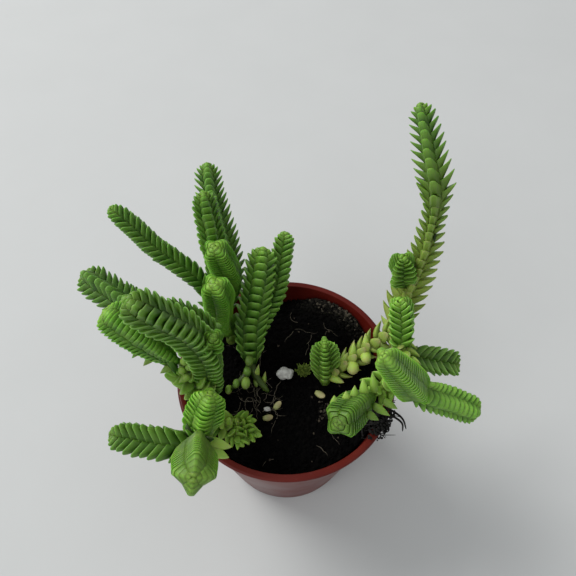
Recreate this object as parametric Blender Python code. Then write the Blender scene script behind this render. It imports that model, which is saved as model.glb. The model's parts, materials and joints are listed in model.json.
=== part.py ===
"""A small crassula with square, four-ranked leafy shoots, in a thin nursery pot.

Metres, +Z up. The origin is the centre of the pot's base, on its underside, and the plant's
front, seen from -Y, is the side that shows the soil. Five rooted stems stand in the soil. Each one
is a single grown body: its shoots are lofted as four ranks of overlapping scale leaves, its old
stretches as open leaves on a thinner stem, and a union joins them.
"""
import math
import random
from collections import namedtuple

import bmesh
import bpy
import numpy as np
from mathutils import Vector
from mathutils.bvhtree import BVHTree

# Driving dimensions, in metres
MM = 0.001
GAP = 0.3 * MM
SEED = 5

# Pot
POT_HEIGHT = 48 * MM
RIM_RADIUS = 27.5 * MM
BASE_RADIUS = 19.3 * MM
WALL = 0.9 * MM
FLOOR = 1.0 * MM
LIP_WIDTH = 1.3 * MM
LIP_HEIGHT = 1.2 * MM
FOOT_BEVEL = 0.6 * MM
POT_SIDES = 48
DRAIN_HOLES = 6
DRAIN_RADIUS = 1.8 * MM
DRAIN_RING = 13.5 * MM

# Soil
SOIL_TOP = 42.0 * MM
SOIL_SIDES = 36
SOIL_RINGS = 8
CRUMB = 0.4 * MM
BANK_CENTRE = (0.014, 0.017)
BANK_REACH = 9 * MM
BANK_HEIGHT = 2.0 * MM
STEM_DEPTH = 4 * MM
CUTTER_SIDES = 12

# Leaves. Pitch is the step between leaves of one rank. Rise is how far up a leaf's tip stands, in
# steps, and slope how far up its keel bulges. Crease and keel are radii, as shares of the tip's.
# Closing is how much shorter than the mean the last step is; the first is as much longer. A shoot
# is slimmer at its start and rounds off at its bud, to these shares of its width.
Growth = namedtuple("Growth", "pitch crease keel slope rise")
SCALES = Growth(2.4 * MM, 0.62, 0.88, 0.55, 1.3)
LEAVES = Growth(2.8 * MM, 0.30, 0.55, 0.40, 1.0)
CLOSING = 0.3
BUD_LENGTH = 5.0 * MM
START_SHARE = 0.55
BUD_SHARE = 0.36
FACING = np.array([0.0, -0.56, 0.83])
UP = np.array([0.0, 0.0, 1.0])

# A shoot's form is "scales" for tight ranks, "leaves" for open leaves on a thin old stem, or
# "foot" for a bare length that stands in the soil. Roll turns its ranks, in degrees: at 0 one rank
# faces up and forward, at 45 the groove between two ranks does. Each point is x, y, z and the
# width over the leaf tips, in millimetres.
Shoot = namedtuple("Shoot", "form roll points")

LEFT_STEM = (
    Shoot("foot", 0, ((-19, -3, 38, 3), (-19, -3, 46, 3))),
    # Upright, then bent out over the rim
    Shoot("scales", 45, ((-19, -3, 43, 6), (-18.5, -3.5, 55, 9), (-18.5, -4.5, 67, 9), (-21, -5, 77, 8.8),
                         (-25, -6, 84, 8.6), (-29, -6.5, 90, 8))),
    # Its lower neighbour, old at the foot
    Shoot("leaves", 20, ((-19, -3, 45, 6), (-21, -5.5, 52, 9), (-25, -6, 60, 10))),
    Shoot("scales", 0, ((-24, -6, 58, 6), (-31, -3, 69, 8.6), (-38, 0, 75.5, 8))),
    # Furthest left, with a short side shoot
    Shoot("scales", 30, ((-26, -5, 62, 5), (-31, 1, 66.5, 8), (-36, 6, 68.8, 8.8), (-46.5, 13, 71, 8))),
    Shoot("scales", 0, ((-32, 2, 66, 4), (-35.7, 7.8, 67, 6.5), (-38.7, 11.5, 68, 6))),
    # Behind the bent shoot
    Shoot("scales", 0, ((-18.5, -3.5, 57, 5), (-17.5, 0, 64.5, 7), (-21, 0.5, 71.5, 7.4),
                        (-26, 1, 76.3, 6.5))),
    # Short, facing up
    Shoot("scales", 0, ((-18.5, -4, 66, 4), (-16.5, -4.5, 70, 6), (-15.3, -5.2, 74, 6))),
)
BACK_STEM = (
    Shoot("foot", 0, ((-15, 12, 38, 3), (-15, 12, 46, 3))),
    Shoot("leaves", 0, ((-15, 12, 44.5, 6), (-17, 14, 51, 8), (-19.5, 17, 57, 8), (-21, 18.5, 60, 7))),
    # Long, out to the left
    Shoot("scales", 30, ((-19.5, 17, 57.5, 5), (-24, 20, 62.5, 8), (-32, 23.5, 68, 8), (-38, 27, 73, 7.6),
                         (-42, 29.2, 75.5, 7))),
    # Tallest, leaning back
    Shoot("scales", 0, ((-17, 14, 50.5, 5), (-15.5, 19, 56, 7.5), (-15, 23, 61, 8.6), (-16.5, 28.5, 67, 8.8),
                        (-18.8, 35.5, 73, 8), (-19.8, 41.5, 78, 6.8))),
    # In front of it
    Shoot("scales", 0, ((-19, 17, 57, 4), (-17, 20.5, 66, 6.5), (-17.5, 22, 73, 6.8), (-18.7, 26, 84, 6))),
    # Two that point up at the viewer
    Shoot("scales", 45, ((-16.5, 15.5, 53, 4), (-14.2, 19, 59.5, 7), (-15, 17.5, 69, 8),
                         (-16, 15.8, 77.5, 6.6))),
    Shoot("scales", 45, ((-15, 12, 46, 4), (-16.5, 11.5, 52, 6.5), (-16.6, 11, 58, 7.6),
                         (-15.9, 10, 66, 8.4),
                         (-16, 8.6, 73.5, 7))),
)
LADDER_STEM = (
    Shoot("foot", 0, ((-9.3, 5, 38, 3), (-9.3, 5, 46, 3))),
    Shoot("scales", 0, ((-9.3, 5, 43.5, 5), (-9.3, 7, 49, 7.6), (-9, 10.5, 54, 8.4), (-7.8, 14, 59, 8.6),
                        (-6, 20.5, 68, 7.6))),
    # Behind it
    Shoot("scales", 45, ((-9.3, 6.5, 46, 4), (-5.6, 13.5, 53, 6.6), (-2.7, 18.2, 58.3, 7.4),
                         (-0.3, 27.2, 68.4, 6.8))),
    # Pale young ones at its foot
    Shoot("leaves", 0, ((-9.3, 4.8, 44.3, 5), (-7, 0, 46, 6), (-3.8, -4.5, 46.4, 5.5))),
    Shoot("leaves", 0, ((-9.4, 4.8, 44.3, 5), (-11, -1, 46.3, 5.5))),
)
FRONT_STEM = (
    Shoot("foot", 0, ((-13, -13, 38, 3), (-13, -13, 46, 3))),
    Shoot("leaves", 0, ((-13, -13, 45, 5.5), (-14.5, -14.5, 49.5, 7), (-17.5, -17.5, 54, 7))),
    # Short, leaning back
    Shoot("scales", 0, ((-17, -17, 52, 4), (-18.7, -18.3, 56, 6.5), (-18, -16.8, 59.8, 9),
                        (-16.4, -14, 64.5, 7.6))),
    # Leaning out to the front
    Shoot("scales", 0, ((-17, -17.5, 52.5, 4), (-18.7, -22, 59, 8), (-17.6, -28, 68, 8.8),
                        (-16, -34.5, 77.5, 8))),
    # Out to the left
    Shoot("scales", 45, ((-16.5, -17.5, 53, 4), (-21.5, -22, 57.5, 9), (-29, -22, 58.8, 9.8),
                         (-37, -20.8, 59.6, 8.4))),
    # Young rosettes at its foot
    Shoot("leaves", 0, ((-13, -13, 45.5, 4), (-10.5, -13.7, 48.5, 6), (-8.3, -14.4, 51.2, 6))),
    Shoot("leaves", 30, ((-13, -14, 46.5, 4), (-10, -16, 48.8, 6), (-7, -18, 51, 6))),
    Shoot("leaves", 0, ((-14, -14.3, 48.5, 4), (-12, -17.5, 50, 6), (-10.2, -20, 51.2, 6))),
)
RIGHT_STEM = (
    Shoot("foot", 0, ((10, 0, 38, 3), (10, 0, 45, 3))),
    Shoot("scales", 0, ((10, 0, 43.3, 5.5), (9.9, 0.8, 47, 7.6), (9.6, 2, 52, 7.8), (9.3, 2.9, 56.8, 6.6))),
    # Old stem, over the rim and up
    Shoot("leaves", 0, ((10, 0, 44.3, 5), (14.5, 1.5, 47, 7), (19, 4.5, 49.3, 7), (23.5, 6.5, 52.4, 7),
                        (27, 7.6, 54.6, 8), (29.7, 11, 56, 8.5), (31.2, 14, 60.5, 8.5),
                        (32.4, 16.4, 66.7, 8.2),
                        (32.7, 18.3, 74, 7), (32.7, 20.2, 79.5, 6))),
    # Tallest shoot, its narrow young start and long cone
    Shoot("scales", 0, ((32.7, 19.2, 77, 4), (32.8, 21.3, 84, 4.8), (32.2, 23.2, 88.5, 7.6),
                        (31, 27.8, 93, 8),
                        (29.6, 33.2, 97, 6.8), (28.8, 37, 99.3, 5.8))),
    Shoot("scales", 0, ((30, 11.5, 57, 4), (28.3, 14.5, 63, 6.6), (27, 15.5, 70, 6.8),
                        (25.8, 15, 76.5, 6.4))),
    Shoot("scales", 45, ((28, 5, 54.3, 4), (28, 4, 57, 7), (27.4, 6.3, 62.5, 7.6), (26.5, 9.2, 68, 7))),
    # Along the rim to the front
    Shoot("leaves", 0, ((27, 7.6, 54.6, 6), (28.3, 3, 55, 6.5), (29, -4, 56.5, 6.5), (28.7, -9, 58.5, 6.5))),
    Shoot("scales", 0, ((28.8, -8, 57.5, 4), (28.3, -11, 62, 8), (24.5, -12.7, 71, 8),
                        (18.5, -14, 83, 5.4))),
    Shoot("scales", 0, ((28.8, -7, 57, 4), (32, -9.5, 55.6, 7.4), (38, -11, 54.2, 7.8),
                        (44, -12.8, 53, 7.2))),
    Shoot("scales", 30, ((28.4, 1, 55, 4), (33, 1, 52.8, 8), (37.4, 0.5, 51.9, 9), (42, 0.4, 50.6, 7.8))),
    Shoot("leaves", 0, ((28.9, -5, 56.6, 6), (22.5, -8.7, 57.8, 9), (18, -12, 59, 9))),
    Shoot("scales", 0, ((18.4, -11.9, 59.2, 4.5), (15.9, -14.3, 60.8, 7.4), (13.4, -17.1, 62.8, 8.4),
                        (11, -20.3, 65.8, 8))),
)
STEMS = {
    "left_stem": LEFT_STEM,
    "back_left_stem": BACK_STEM,
    "ladder_stem": LADDER_STEM,
    "front_left_stem": FRONT_STEM,
    "right_stem": RIGHT_STEM,
}

# Small pieces that lie on the soil. Leaves: place x and y, length, and heading in degrees. Grains:
# place and size. Moss: length, width and thickness of its core and of a needle.
FALLEN_LEAVES = ((8.6, -4.4, 3.6, -35), (-2.2, -7.2, 3.0, 50), (-4.6, -10.5, 2.6, 10))
FALLEN_WIDTH = 1.8 * MM
FALLEN_THICKNESS = 1.2 * MM
WHITE_GRAINS = ((-0.4, 1.2, 4.6), (-4.9, -8.2, 1.8))
MOSS_PLACE = (4.6, 2.6)
MOSS_NEEDLES = 8
MOSS_CORE = (3.2 * MM, 1.6 * MM, 1.2 * MM)
MOSS_NEEDLE = (2.0 * MM, 0.7 * MM, 0.65 * MM)

# Root tuft that hangs over the right of the rim. Its lump's half sizes are across the rim, along
# it and up. Each strand has a heading in degrees and hangs a drop, in millimetres, below its top.
TUFT_HEADING = math.radians(-30)
TUFT_LUMP = (2.6 * MM, 4.6 * MM, 1.0 * MM)
TUFT_FLAT = 0.55
TUFT_STRANDS = ((-37, 4.5, 0.05), (-30, 5.3, -0.05), (-23, 6.1, 0.05))
STRAND_RADIUS = 0.55 * MM
STRAND_TOP = 49.1


def clear_scene():
    for old in list(bpy.data.objects):
        bpy.data.objects.remove(old, do_unlink=True)


def make_material(name, colour, roughness):
    material = bpy.data.materials.new(name)
    material.use_nodes = True
    shader = material.node_tree.nodes["Principled BSDF"]
    shader.inputs["Base Color"].default_value = (*colour, 1.0)
    shader.inputs["Roughness"].default_value = roughness
    shader.inputs["Metallic"].default_value = 0.0
    material.diffuse_color = (*colour, 1.0)
    return material


def add_mesh(name, vertices, faces, material=None):
    """A closed object from plain vertices and faces, its faces turned to point out."""
    mesh = bpy.data.meshes.new(name)
    mesh.from_pydata([tuple(v) for v in vertices], [], faces)
    work = bmesh.new()
    work.from_mesh(mesh)
    bmesh.ops.recalc_face_normals(work, faces=work.faces)
    work.to_mesh(mesh)
    work.free()
    if material:
        mesh.materials.append(material)
    piece = bpy.data.objects.new(name, mesh)
    bpy.context.collection.objects.link(piece)
    return piece


def shade(piece, angle):
    piece.data.shade_smooth()
    piece.data.set_sharp_from_angle(angle=math.radians(angle))


def apply_boolean(piece, operation, others, solver):
    """Join or cut the piece with the other objects in one Boolean, then remove them."""
    group = bpy.data.collections.new("operands")
    bpy.context.scene.collection.children.link(group)
    for other in others:
        for owner in list(other.users_collection):
            owner.objects.unlink(other)
        group.objects.link(other)
        other.hide_render = True
        other.display_type = "WIRE"
    modifier = piece.modifiers.new("join", "BOOLEAN")
    modifier.operation = operation
    modifier.operand_type = "COLLECTION"
    modifier.collection = group
    modifier.solver = solver
    graph = bpy.context.evaluated_depsgraph_get()
    result = bpy.data.meshes.new_from_object(piece.evaluated_get(graph))
    piece.modifiers.clear()
    piece.data = result
    for other in others:
        bpy.data.objects.remove(other, do_unlink=True)
    bpy.data.collections.remove(group)


def turned(name, profile, sides, material):
    """A solid turned about the Z axis from (radius, height) points, with a flat cap at each end."""
    vertices = []
    for radius, height in profile:
        for k in range(sides):
            turn = 2 * math.pi * k / sides
            vertices.append((radius * math.cos(turn), radius * math.sin(turn), height))
    last = (len(profile) - 1) * sides
    faces = [tuple(range(sides)), tuple(range(last, last + sides))]
    for row in range(len(profile) - 1):
        for k in range(sides):
            here = row * sides + k
            beside = row * sides + (k + 1) % sides
            faces.append((here, beside, beside + sides, here + sides))
    return add_mesh(name, vertices, faces, material)


def plug(name, radius, low, high, place):
    """A round cutter that stands at a place, from one height to another."""
    cutter = turned(name, [(radius, low), (radius, high)], CUTTER_SIDES, None)
    for vertex in cutter.data.vertices:
        vertex.co.x += place[0]
        vertex.co.y += place[1]
    return cutter


def wall_radius(height):
    """Outer radius of the plain wall, without its lip."""
    top = RIM_RADIUS - LIP_WIDTH + WALL / 2
    return BASE_RADIUS + (top - BASE_RADIUS) * height / POT_HEIGHT


def make_pot(material):
    lip_base = POT_HEIGHT - LIP_HEIGHT
    inner_rim = wall_radius(POT_HEIGHT) - WALL
    profile = [
        (wall_radius(0) - FOOT_BEVEL, 0),
        (wall_radius(FOOT_BEVEL), FOOT_BEVEL),
        (wall_radius(lip_base), lip_base),
        (RIM_RADIUS - 0.15 * MM, lip_base + 0.1 * MM),
        (RIM_RADIUS, POT_HEIGHT - LIP_HEIGHT / 2),
        (RIM_RADIUS - 0.3 * MM, POT_HEIGHT - 0.15 * MM),
        (RIM_RADIUS - LIP_WIDTH / 2, POT_HEIGHT),
        (inner_rim, POT_HEIGHT - 0.3 * MM),
        (wall_radius(FLOOR + FOOT_BEVEL) - WALL, FLOOR + FOOT_BEVEL),
        (wall_radius(FLOOR) - WALL - FOOT_BEVEL, FLOOR),
    ]
    pot = turned("pot", profile, POT_SIDES, material)
    holes = []
    for k in range(DRAIN_HOLES):
        turn = 2 * math.pi * (k + 0.5) / DRAIN_HOLES
        place = (DRAIN_RING * math.cos(turn), DRAIN_RING * math.sin(turn))
        holes.append(plug("drain", DRAIN_RADIUS, -FLOOR, 2 * FLOOR, place))
    apply_boolean(pot, "DIFFERENCE", holes, "EXACT")
    shade(pot, 35)
    return pot


def soil_height(x, y):
    """The soil's smooth level: flat, with a bank at the back right."""
    away = math.hypot(x - BANK_CENTRE[0], y - BANK_CENTRE[1]) / BANK_REACH
    return SOIL_TOP + BANK_HEIGHT * math.exp(-away * away)


def make_soil(material):
    draw = random.Random(SEED)
    bottom = FLOOR + GAP
    edge_floor = wall_radius(bottom + FOOT_BEVEL) - WALL - FOOT_BEVEL - GAP
    edge_top = wall_radius(SOIL_TOP) - WALL - GAP
    rings = [
        (edge_floor, bottom),
        (wall_radius(bottom + 2 * FOOT_BEVEL) - WALL - GAP * 1.3, bottom + 2 * FOOT_BEVEL),
        (edge_top - 0.2 * MM, SOIL_TOP - 0.6 * MM),
    ]
    for step in range(SOIL_RINGS):
        rings.append(((edge_top - 1.0 * MM) * (1 - step / SOIL_RINGS), None))
    vertices = []
    for radius, height in rings:
        for k in range(SOIL_SIDES):
            turn = 2 * math.pi * k / SOIL_SIDES
            x = radius * math.cos(turn)
            y = radius * math.sin(turn)
            surface = height if height is not None else soil_height(x, y) + draw.uniform(-CRUMB, CRUMB)
            vertices.append((x, y, surface))
    middle = len(vertices)
    vertices.append((0.0, 0.0, soil_height(0, 0)))
    faces = [tuple(range(SOIL_SIDES))]
    for row in range(len(rings)):
        for k in range(SOIL_SIDES):
            here = row * SOIL_SIDES + k
            beside = row * SOIL_SIDES + (k + 1) % SOIL_SIDES
            if row == len(rings) - 1:
                faces.append((here, beside, middle))
            else:
                faces.append((here, beside, beside + SOIL_SIDES))
                faces.append((here, beside + SOIL_SIDES, here + SOIL_SIDES))
    soil = add_mesh("soil", vertices, faces, material)
    holes = []
    for shoots in STEMS.values():
        x, y, low, width = shoots[0].points[0]
        radius = 0.5 * width * MM + GAP
        holes.append(plug("hole", radius, low * MM - GAP, low * MM + 3 * STEM_DEPTH, (x * MM, y * MM)))
    apply_boolean(soil, "DIFFERENCE", holes, "EXACT")
    shade(soil, 50)
    return soil


def smooth_route(points, steps=12):
    """Points along a Catmull-Rom curve through the rows, and the length along it, in metres."""
    rows = np.array(points, float) * MM
    ends = np.vstack([2 * rows[0] - rows[1], rows, 2 * rows[-1] - rows[-2]])
    route = []
    for i in range(len(rows) - 1):
        a, b, c, d = ends[i:i + 4]
        for t in np.linspace(0, 1, steps, endpoint=False):
            route.append(0.5 * (2 * b + (c - a) * t + (2 * a - 5 * b + 4 * c - d) * t ** 2
                                + (3 * b - a - 3 * c + d) * t ** 3))
    route.append(rows[-1])
    route = np.array(route)
    run = np.concatenate([[0], np.cumsum(np.linalg.norm(np.diff(route[:, :3], axis=0), axis=1))])
    return route, run


class Axis:
    """A shoot's centre line: its place, direction, width and a frame that doesn't twist."""

    def __init__(self, shoot):
        self.route, self.run = smooth_route(shoot.points)
        self.length = float(self.run[-1])
        tangents = np.gradient(self.route[:, :3], self.run, axis=0)
        tangents /= np.linalg.norm(tangents, axis=1)[:, None]
        side = np.cross(tangents[0], [0.31, 0.17, 0.93])
        sides = []
        for tangent in tangents:
            side = side - tangent * np.dot(side, tangent)
            side = side / np.linalg.norm(side)
            sides.append(side)
        middle = len(sides) // 2
        facing = FACING - tangents[middle] * np.dot(FACING, tangents[middle])
        across = np.cross(tangents[middle], sides[middle])
        level = math.atan2(np.dot(facing, across), np.dot(facing, sides[middle]))
        self.turn = level + math.radians(shoot.roll)
        self.sides = np.array(sides)
        self.tangents = tangents

    def _blend(self, rows, along):
        return np.array([np.interp(along, self.run, rows[:, k]) for k in range(rows.shape[1])])

    def width(self, along):
        return float(np.interp(along, self.run, self.route[:, 3]))

    def frame(self, along, angle):
        """The place on the centre line, its direction, and the outward direction at an angle."""
        place = self._blend(self.route[:, :3], along)
        tangent = self._blend(self.tangents, along)
        tangent /= np.linalg.norm(tangent)
        side = self._blend(self.sides, along)
        side -= tangent * np.dot(side, tangent)
        side /= np.linalg.norm(side)
        across = np.cross(tangent, side)
        turn = self.turn + angle
        return place, tangent, side * math.cos(turn) + across * math.sin(turn)

    def point(self, along, angle, radius):
        place, tangent, out = self.frame(min(max(along, 0.0), self.length), angle)
        return place + tangent * (along - min(max(along, 0.0), self.length)) + out * radius


def tip_radius(axis, along):
    """Radius over the leaf tips: slim where the shoot starts, rounded off at its bud."""
    start = min(1.0, START_SHARE + (1 - START_SHARE) * along / BUD_LENGTH)
    left = min(max(0.0, axis.length - along), BUD_LENGTH)
    end = BUD_SHARE + (1 - BUD_SHARE) * math.sin(math.pi / 2 * left / BUD_LENGTH)
    return 0.5 * axis.width(along) * start * end


def make_leafy(shoot, growth):
    """A leafy shoot: four ranks of leaves, in pairs that cross, lofted as one closed skin.

    Four crease columns stand between the ranks. Each leaf spans two levels of them, bulges at its
    keel and ends in a tip that stands out over the leaf above.
    """
    axis = Axis(shoot)
    levels = max(4, 2 * round(axis.length / growth.pitch))
    quarter = math.pi / 2
    vertices = []
    faces = []

    def station(steps):
        """Length along the axis: the steps shorten evenly towards the bud."""
        share = steps / levels
        if share > 1:
            return axis.length * (1 + (share - 1) * (1 - CLOSING))
        return axis.length * share * (1 + CLOSING * (1 - share))

    def add(steps, angle, radius):
        vertices.append(axis.point(station(steps), angle, radius))
        return len(vertices) - 1

    crease = []
    for level in range(levels + 1):
        radius = growth.crease * tip_radius(axis, station(level))
        crease.append([add(level, (k + 0.5) * quarter, radius) for k in range(4)])
    for level in range(levels - 1):
        for rank in (level % 2, level % 2 + 2):
            a = [crease[level + j][(rank - 1) % 4] for j in range(3)]
            b = [crease[level + j][rank] for j in range(3)]
            reach = tip_radius(axis, station(level + 2))
            keel = add(level + 2 * growth.slope, rank * quarter, growth.keel * reach)
            tip = add(level + 2 * growth.rise, rank * quarter, reach)
            faces += [(a[0], b[0], keel), (b[0], b[1], keel), (b[1], tip, keel)]
            faces += [(tip, a[1], keel), (a[1], a[0], keel)]
            faces += [(tip, b[1], b[2]), (tip, b[2], a[2]), (tip, a[2], a[1])]
    last = levels - 1
    fills = [(0, 1), (0, 3), (last, last % 2), (last, last % 2 + 2)]
    for level, rank in fills:
        left = (rank - 1) % 4
        below = crease[level]
        above = crease[level + 1]
        faces.append((below[left], below[rank], above[rank], above[left]))
    faces.append(tuple(crease[0]))
    bud = add(levels + 0.7, 0, 0.0)
    for k in range(4):
        faces.append((crease[levels][k], crease[levels][(k + 1) % 4], bud))
    return add_mesh("leafy", vertices, faces)


def make_tube(axis, radius, sides):
    """The bare stem along an axis, with flat ends."""
    count = max(2, round(axis.length / (3 * MM)))
    vertices = []
    for i in range(count + 1):
        along = axis.length * i / count
        for k in range(sides):
            vertices.append(axis.point(along, 2 * math.pi * k / sides, radius))
    faces = [tuple(range(sides)), tuple(range(count * sides, (count + 1) * sides))]
    for i in range(count):
        for k in range(sides):
            after = (k + 1) % sides
            faces.append((i * sides + k, i * sides + after, (i + 1) * sides + after, (i + 1) * sides + k))
    return add_mesh("stem", vertices, faces)


def leaf_skin(root, pointing, normal, length, width, thickness):
    """Vertices and faces of one fat pointed leaf: a small root, a five-sided waist and a tip."""
    across = np.cross(pointing, normal)
    across /= np.linalg.norm(across)
    up = np.cross(across, pointing)
    vertices = []
    for share, size in ((0.0, 0.35), (0.5, 1.0)):
        for k in range(5):
            turn = 2 * math.pi * (k + 0.25) / 5
            vertices.append(root + pointing * length * share + across * 0.5 * width * size * math.cos(turn)
                            + up * 0.5 * thickness * size * math.sin(turn))
    vertices.append(root + pointing * length)
    faces = [(0, 1, 2, 3, 4)]
    for k in range(5):
        after = (k + 1) % 5
        faces.append((k, after, after + 5, k + 5))
        faces.append((k + 5, after + 5, 10))
    return vertices, faces


def keep_main_body(piece):
    """Drop loose scraps and the skins of sealed hollows, so that one solid body is left."""
    work = bmesh.new()
    work.from_mesh(piece.data)
    waiting = set(work.verts)
    bodies = []
    while waiting:
        body = [waiting.pop()]
        for vertex in body:
            for edge in vertex.link_edges:
                other = edge.other_vert(vertex)
                if other in waiting:
                    waiting.remove(other)
                    body.append(other)
        bodies.append(body)
    bodies.sort(key=len)
    for body in bodies[:-1]:
        bmesh.ops.delete(work, geom=body, context="VERTS")
    work.to_mesh(piece.data)
    work.free()


def make_stem(name, shoots, material):
    """One rooted stem with all its shoots, joined into a single body."""
    bodies = []
    for shoot in shoots:
        if shoot.form == "foot":
            bodies.append(make_tube(Axis(shoot), 0.5 * shoot.points[0][3] * MM, 8))
        else:
            bodies.append(make_leafy(shoot, SCALES if shoot.form == "scales" else LEAVES))
    stem = bodies[0]
    apply_boolean(stem, "UNION", bodies[1:], "MANIFOLD")
    keep_main_body(stem)
    stem.name = name
    stem.data.name = name
    stem.data.materials.clear()
    stem.data.materials.append(material)
    shade(stem, 30)
    return stem


def settle(piece, tree):
    """Lower or raise a small piece until it lies just clear of the soil."""
    lowest = None
    for vertex in piece.data.vertices:
        hit = tree.ray_cast(Vector((vertex.co.x, vertex.co.y, 2 * POT_HEIGHT)), Vector((0, 0, -1)))[0]
        if hit is not None:
            clearance = vertex.co.z - hit.z
            lowest = clearance if lowest is None else min(lowest, clearance)
    for vertex in piece.data.vertices:
        vertex.co.z -= lowest - GAP


def make_fallen_leaf(number, place, material):
    x, y, length, heading = place
    turn = math.radians(heading)
    pointing = np.array([math.cos(turn), math.sin(turn), 0.0])
    root = np.array([x, y, 0.0]) * MM - pointing * length * MM / 2
    vertices, faces = leaf_skin(root, pointing, UP, length * MM, FALLEN_WIDTH, FALLEN_THICKNESS)
    return add_mesh(f"fallen_leaf_{number}", vertices, faces, material)


def make_grain(number, place, material):
    """A rounded, uneven grain: an icosphere with seeded bumps."""
    x, y, size = place
    draw = random.Random(SEED + number)
    work = bmesh.new()
    bmesh.ops.create_icosphere(work, subdivisions=2, radius=0.5 * size * MM)
    for vertex in work.verts:
        bump = 1 + draw.uniform(-0.14, 0.10)
        vertex.co = Vector((vertex.co.x * bump, vertex.co.y * bump * 0.8, vertex.co.z * bump * 0.62))
        vertex.co += Vector((x * MM, y * MM, 0))
    mesh = bpy.data.meshes.new(f"white_grain_{number}")
    work.to_mesh(mesh)
    work.free()
    mesh.materials.append(material)
    grain = bpy.data.objects.new(f"white_grain_{number}", mesh)
    bpy.context.collection.objects.link(grain)
    shade(grain, 50)
    return grain


def make_moss(material):
    """A tiny tuft: needles in a golden-angle spread, rooted in a small core."""
    centre = np.array([MOSS_PLACE[0] * MM, MOSS_PLACE[1] * MM, 0.0])
    length, width, thickness = MOSS_CORE
    start = centre - np.array([length / 2, 0, 0])
    vertices, faces = leaf_skin(start, np.array([1.0, 0, 0]), UP, length, width, thickness)
    tuft = add_mesh("moss_sprig", vertices, faces)
    needles = []
    for k in range(MOSS_NEEDLES):
        turn = k * math.radians(137.5)
        lift = 0.25 + 0.6 * (k + 0.5) / MOSS_NEEDLES
        flat = math.cos(lift)
        pointing = np.array([math.cos(turn) * flat, math.sin(turn) * flat, math.sin(lift)])
        foot = centre + np.array([(k / (MOSS_NEEDLES - 1) - 0.5) * 0.56 * length, 0, 0])
        needle, skin = leaf_skin(foot, pointing, UP, *MOSS_NEEDLE)
        needles.append(add_mesh("needle", needle, skin))
    apply_boolean(tuft, "UNION", needles, "MANIFOLD")
    tuft.data.name = "moss_sprig"
    tuft.data.materials.clear()
    tuft.data.materials.append(material)
    return tuft


def make_root_tuft(material):
    """Dry roots and crumbs: a flat lump on the rim, and strands bent over it."""
    across, along, up = TUFT_LUMP
    middle = RIM_RADIUS - LIP_WIDTH / 2
    draw = random.Random(SEED)
    work = bmesh.new()
    bmesh.ops.create_icosphere(work, subdivisions=2, radius=1.0)
    for vertex in work.verts:
        bump = 1 + draw.uniform(-0.18, 0.12)
        radius = middle + vertex.co.x * across * bump
        turn = TUFT_HEADING + vertex.co.y * along * bump / middle
        height = POT_HEIGHT + GAP + up * (TUFT_FLAT + max(vertex.co.z, -TUFT_FLAT))
        vertex.co = Vector((radius * math.cos(turn), radius * math.sin(turn), height))
    mesh = bpy.data.meshes.new("root_tuft")
    work.to_mesh(mesh)
    work.free()
    tuft = bpy.data.objects.new("root_tuft", mesh)
    bpy.context.collection.objects.link(tuft)
    strands = []
    rim = RIM_RADIUS / MM
    for heading, drop, sway in TUFT_STRANDS:
        points = []
        for radius, height, swing in ((rim - 5, STRAND_TOP - 3.6, 0), (rim - 1.5, STRAND_TOP, 0),
                                      (rim + 1.6, STRAND_TOP - 1.1, 0.4 * sway),
                                      (rim + 2.6, STRAND_TOP - drop, sway)):
            turn = math.radians(heading) + swing
            points.append((radius * math.cos(turn), radius * math.sin(turn), height, 1))
        strands.append(make_tube(Axis(Shoot("foot", 0, tuple(points))), STRAND_RADIUS, 4))
    apply_boolean(tuft, "UNION", strands, "MANIFOLD")
    tuft.data.name = "root_tuft"
    tuft.data.materials.clear()
    tuft.data.materials.append(material)
    return tuft


def build():
    clear_scene()
    plastic = make_material("pot_plastic", (0.33, 0.045, 0.03), 0.38)
    earth = make_material("potting_soil", (0.020, 0.014, 0.010), 0.95)
    pale = make_material("pale_leaf", (0.42, 0.44, 0.16), 0.55)
    grain = make_material("white_grain", (0.62, 0.61, 0.58), 0.9)
    moss = make_material("moss", (0.10, 0.16, 0.03), 0.8)
    root = make_material("dry_root", (0.028, 0.022, 0.018), 0.9)
    greens = {
        "left_stem": (0.10, 0.27, 0.035),
        "back_left_stem": (0.09, 0.25, 0.035),
        "ladder_stem": (0.10, 0.26, 0.04),
        "front_left_stem": (0.13, 0.32, 0.05),
        "right_stem": (0.15, 0.30, 0.055),
    }
    make_pot(plastic)
    soil = make_soil(earth)
    for name, shoots in STEMS.items():
        make_stem(name, shoots, make_material(name, greens[name], 0.45))
    corners = [vertex.co for vertex in soil.data.vertices]
    tree = BVHTree.FromPolygons(corners, [face.vertices[:] for face in soil.data.polygons])
    for number, place in enumerate(FALLEN_LEAVES, 1):
        settle(make_fallen_leaf(number, place, pale), tree)
    for number, place in enumerate(WHITE_GRAINS, 1):
        settle(make_grain(number, place, grain), tree)
    settle(make_moss(moss), tree)
    make_root_tuft(root)


build()
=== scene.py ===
"""Looks of the potted crassula: real leaves, crumbly soil and a thin satin pot, around the frame.

Metres, +Z up, the same frame as the CAD. A shoot follows the centre line and width of its CAD
solid, or those corrected a little, and its leaves grow by one rule, each a closed fleshy body.
"""

import json
import math
import random
from collections import namedtuple

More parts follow.
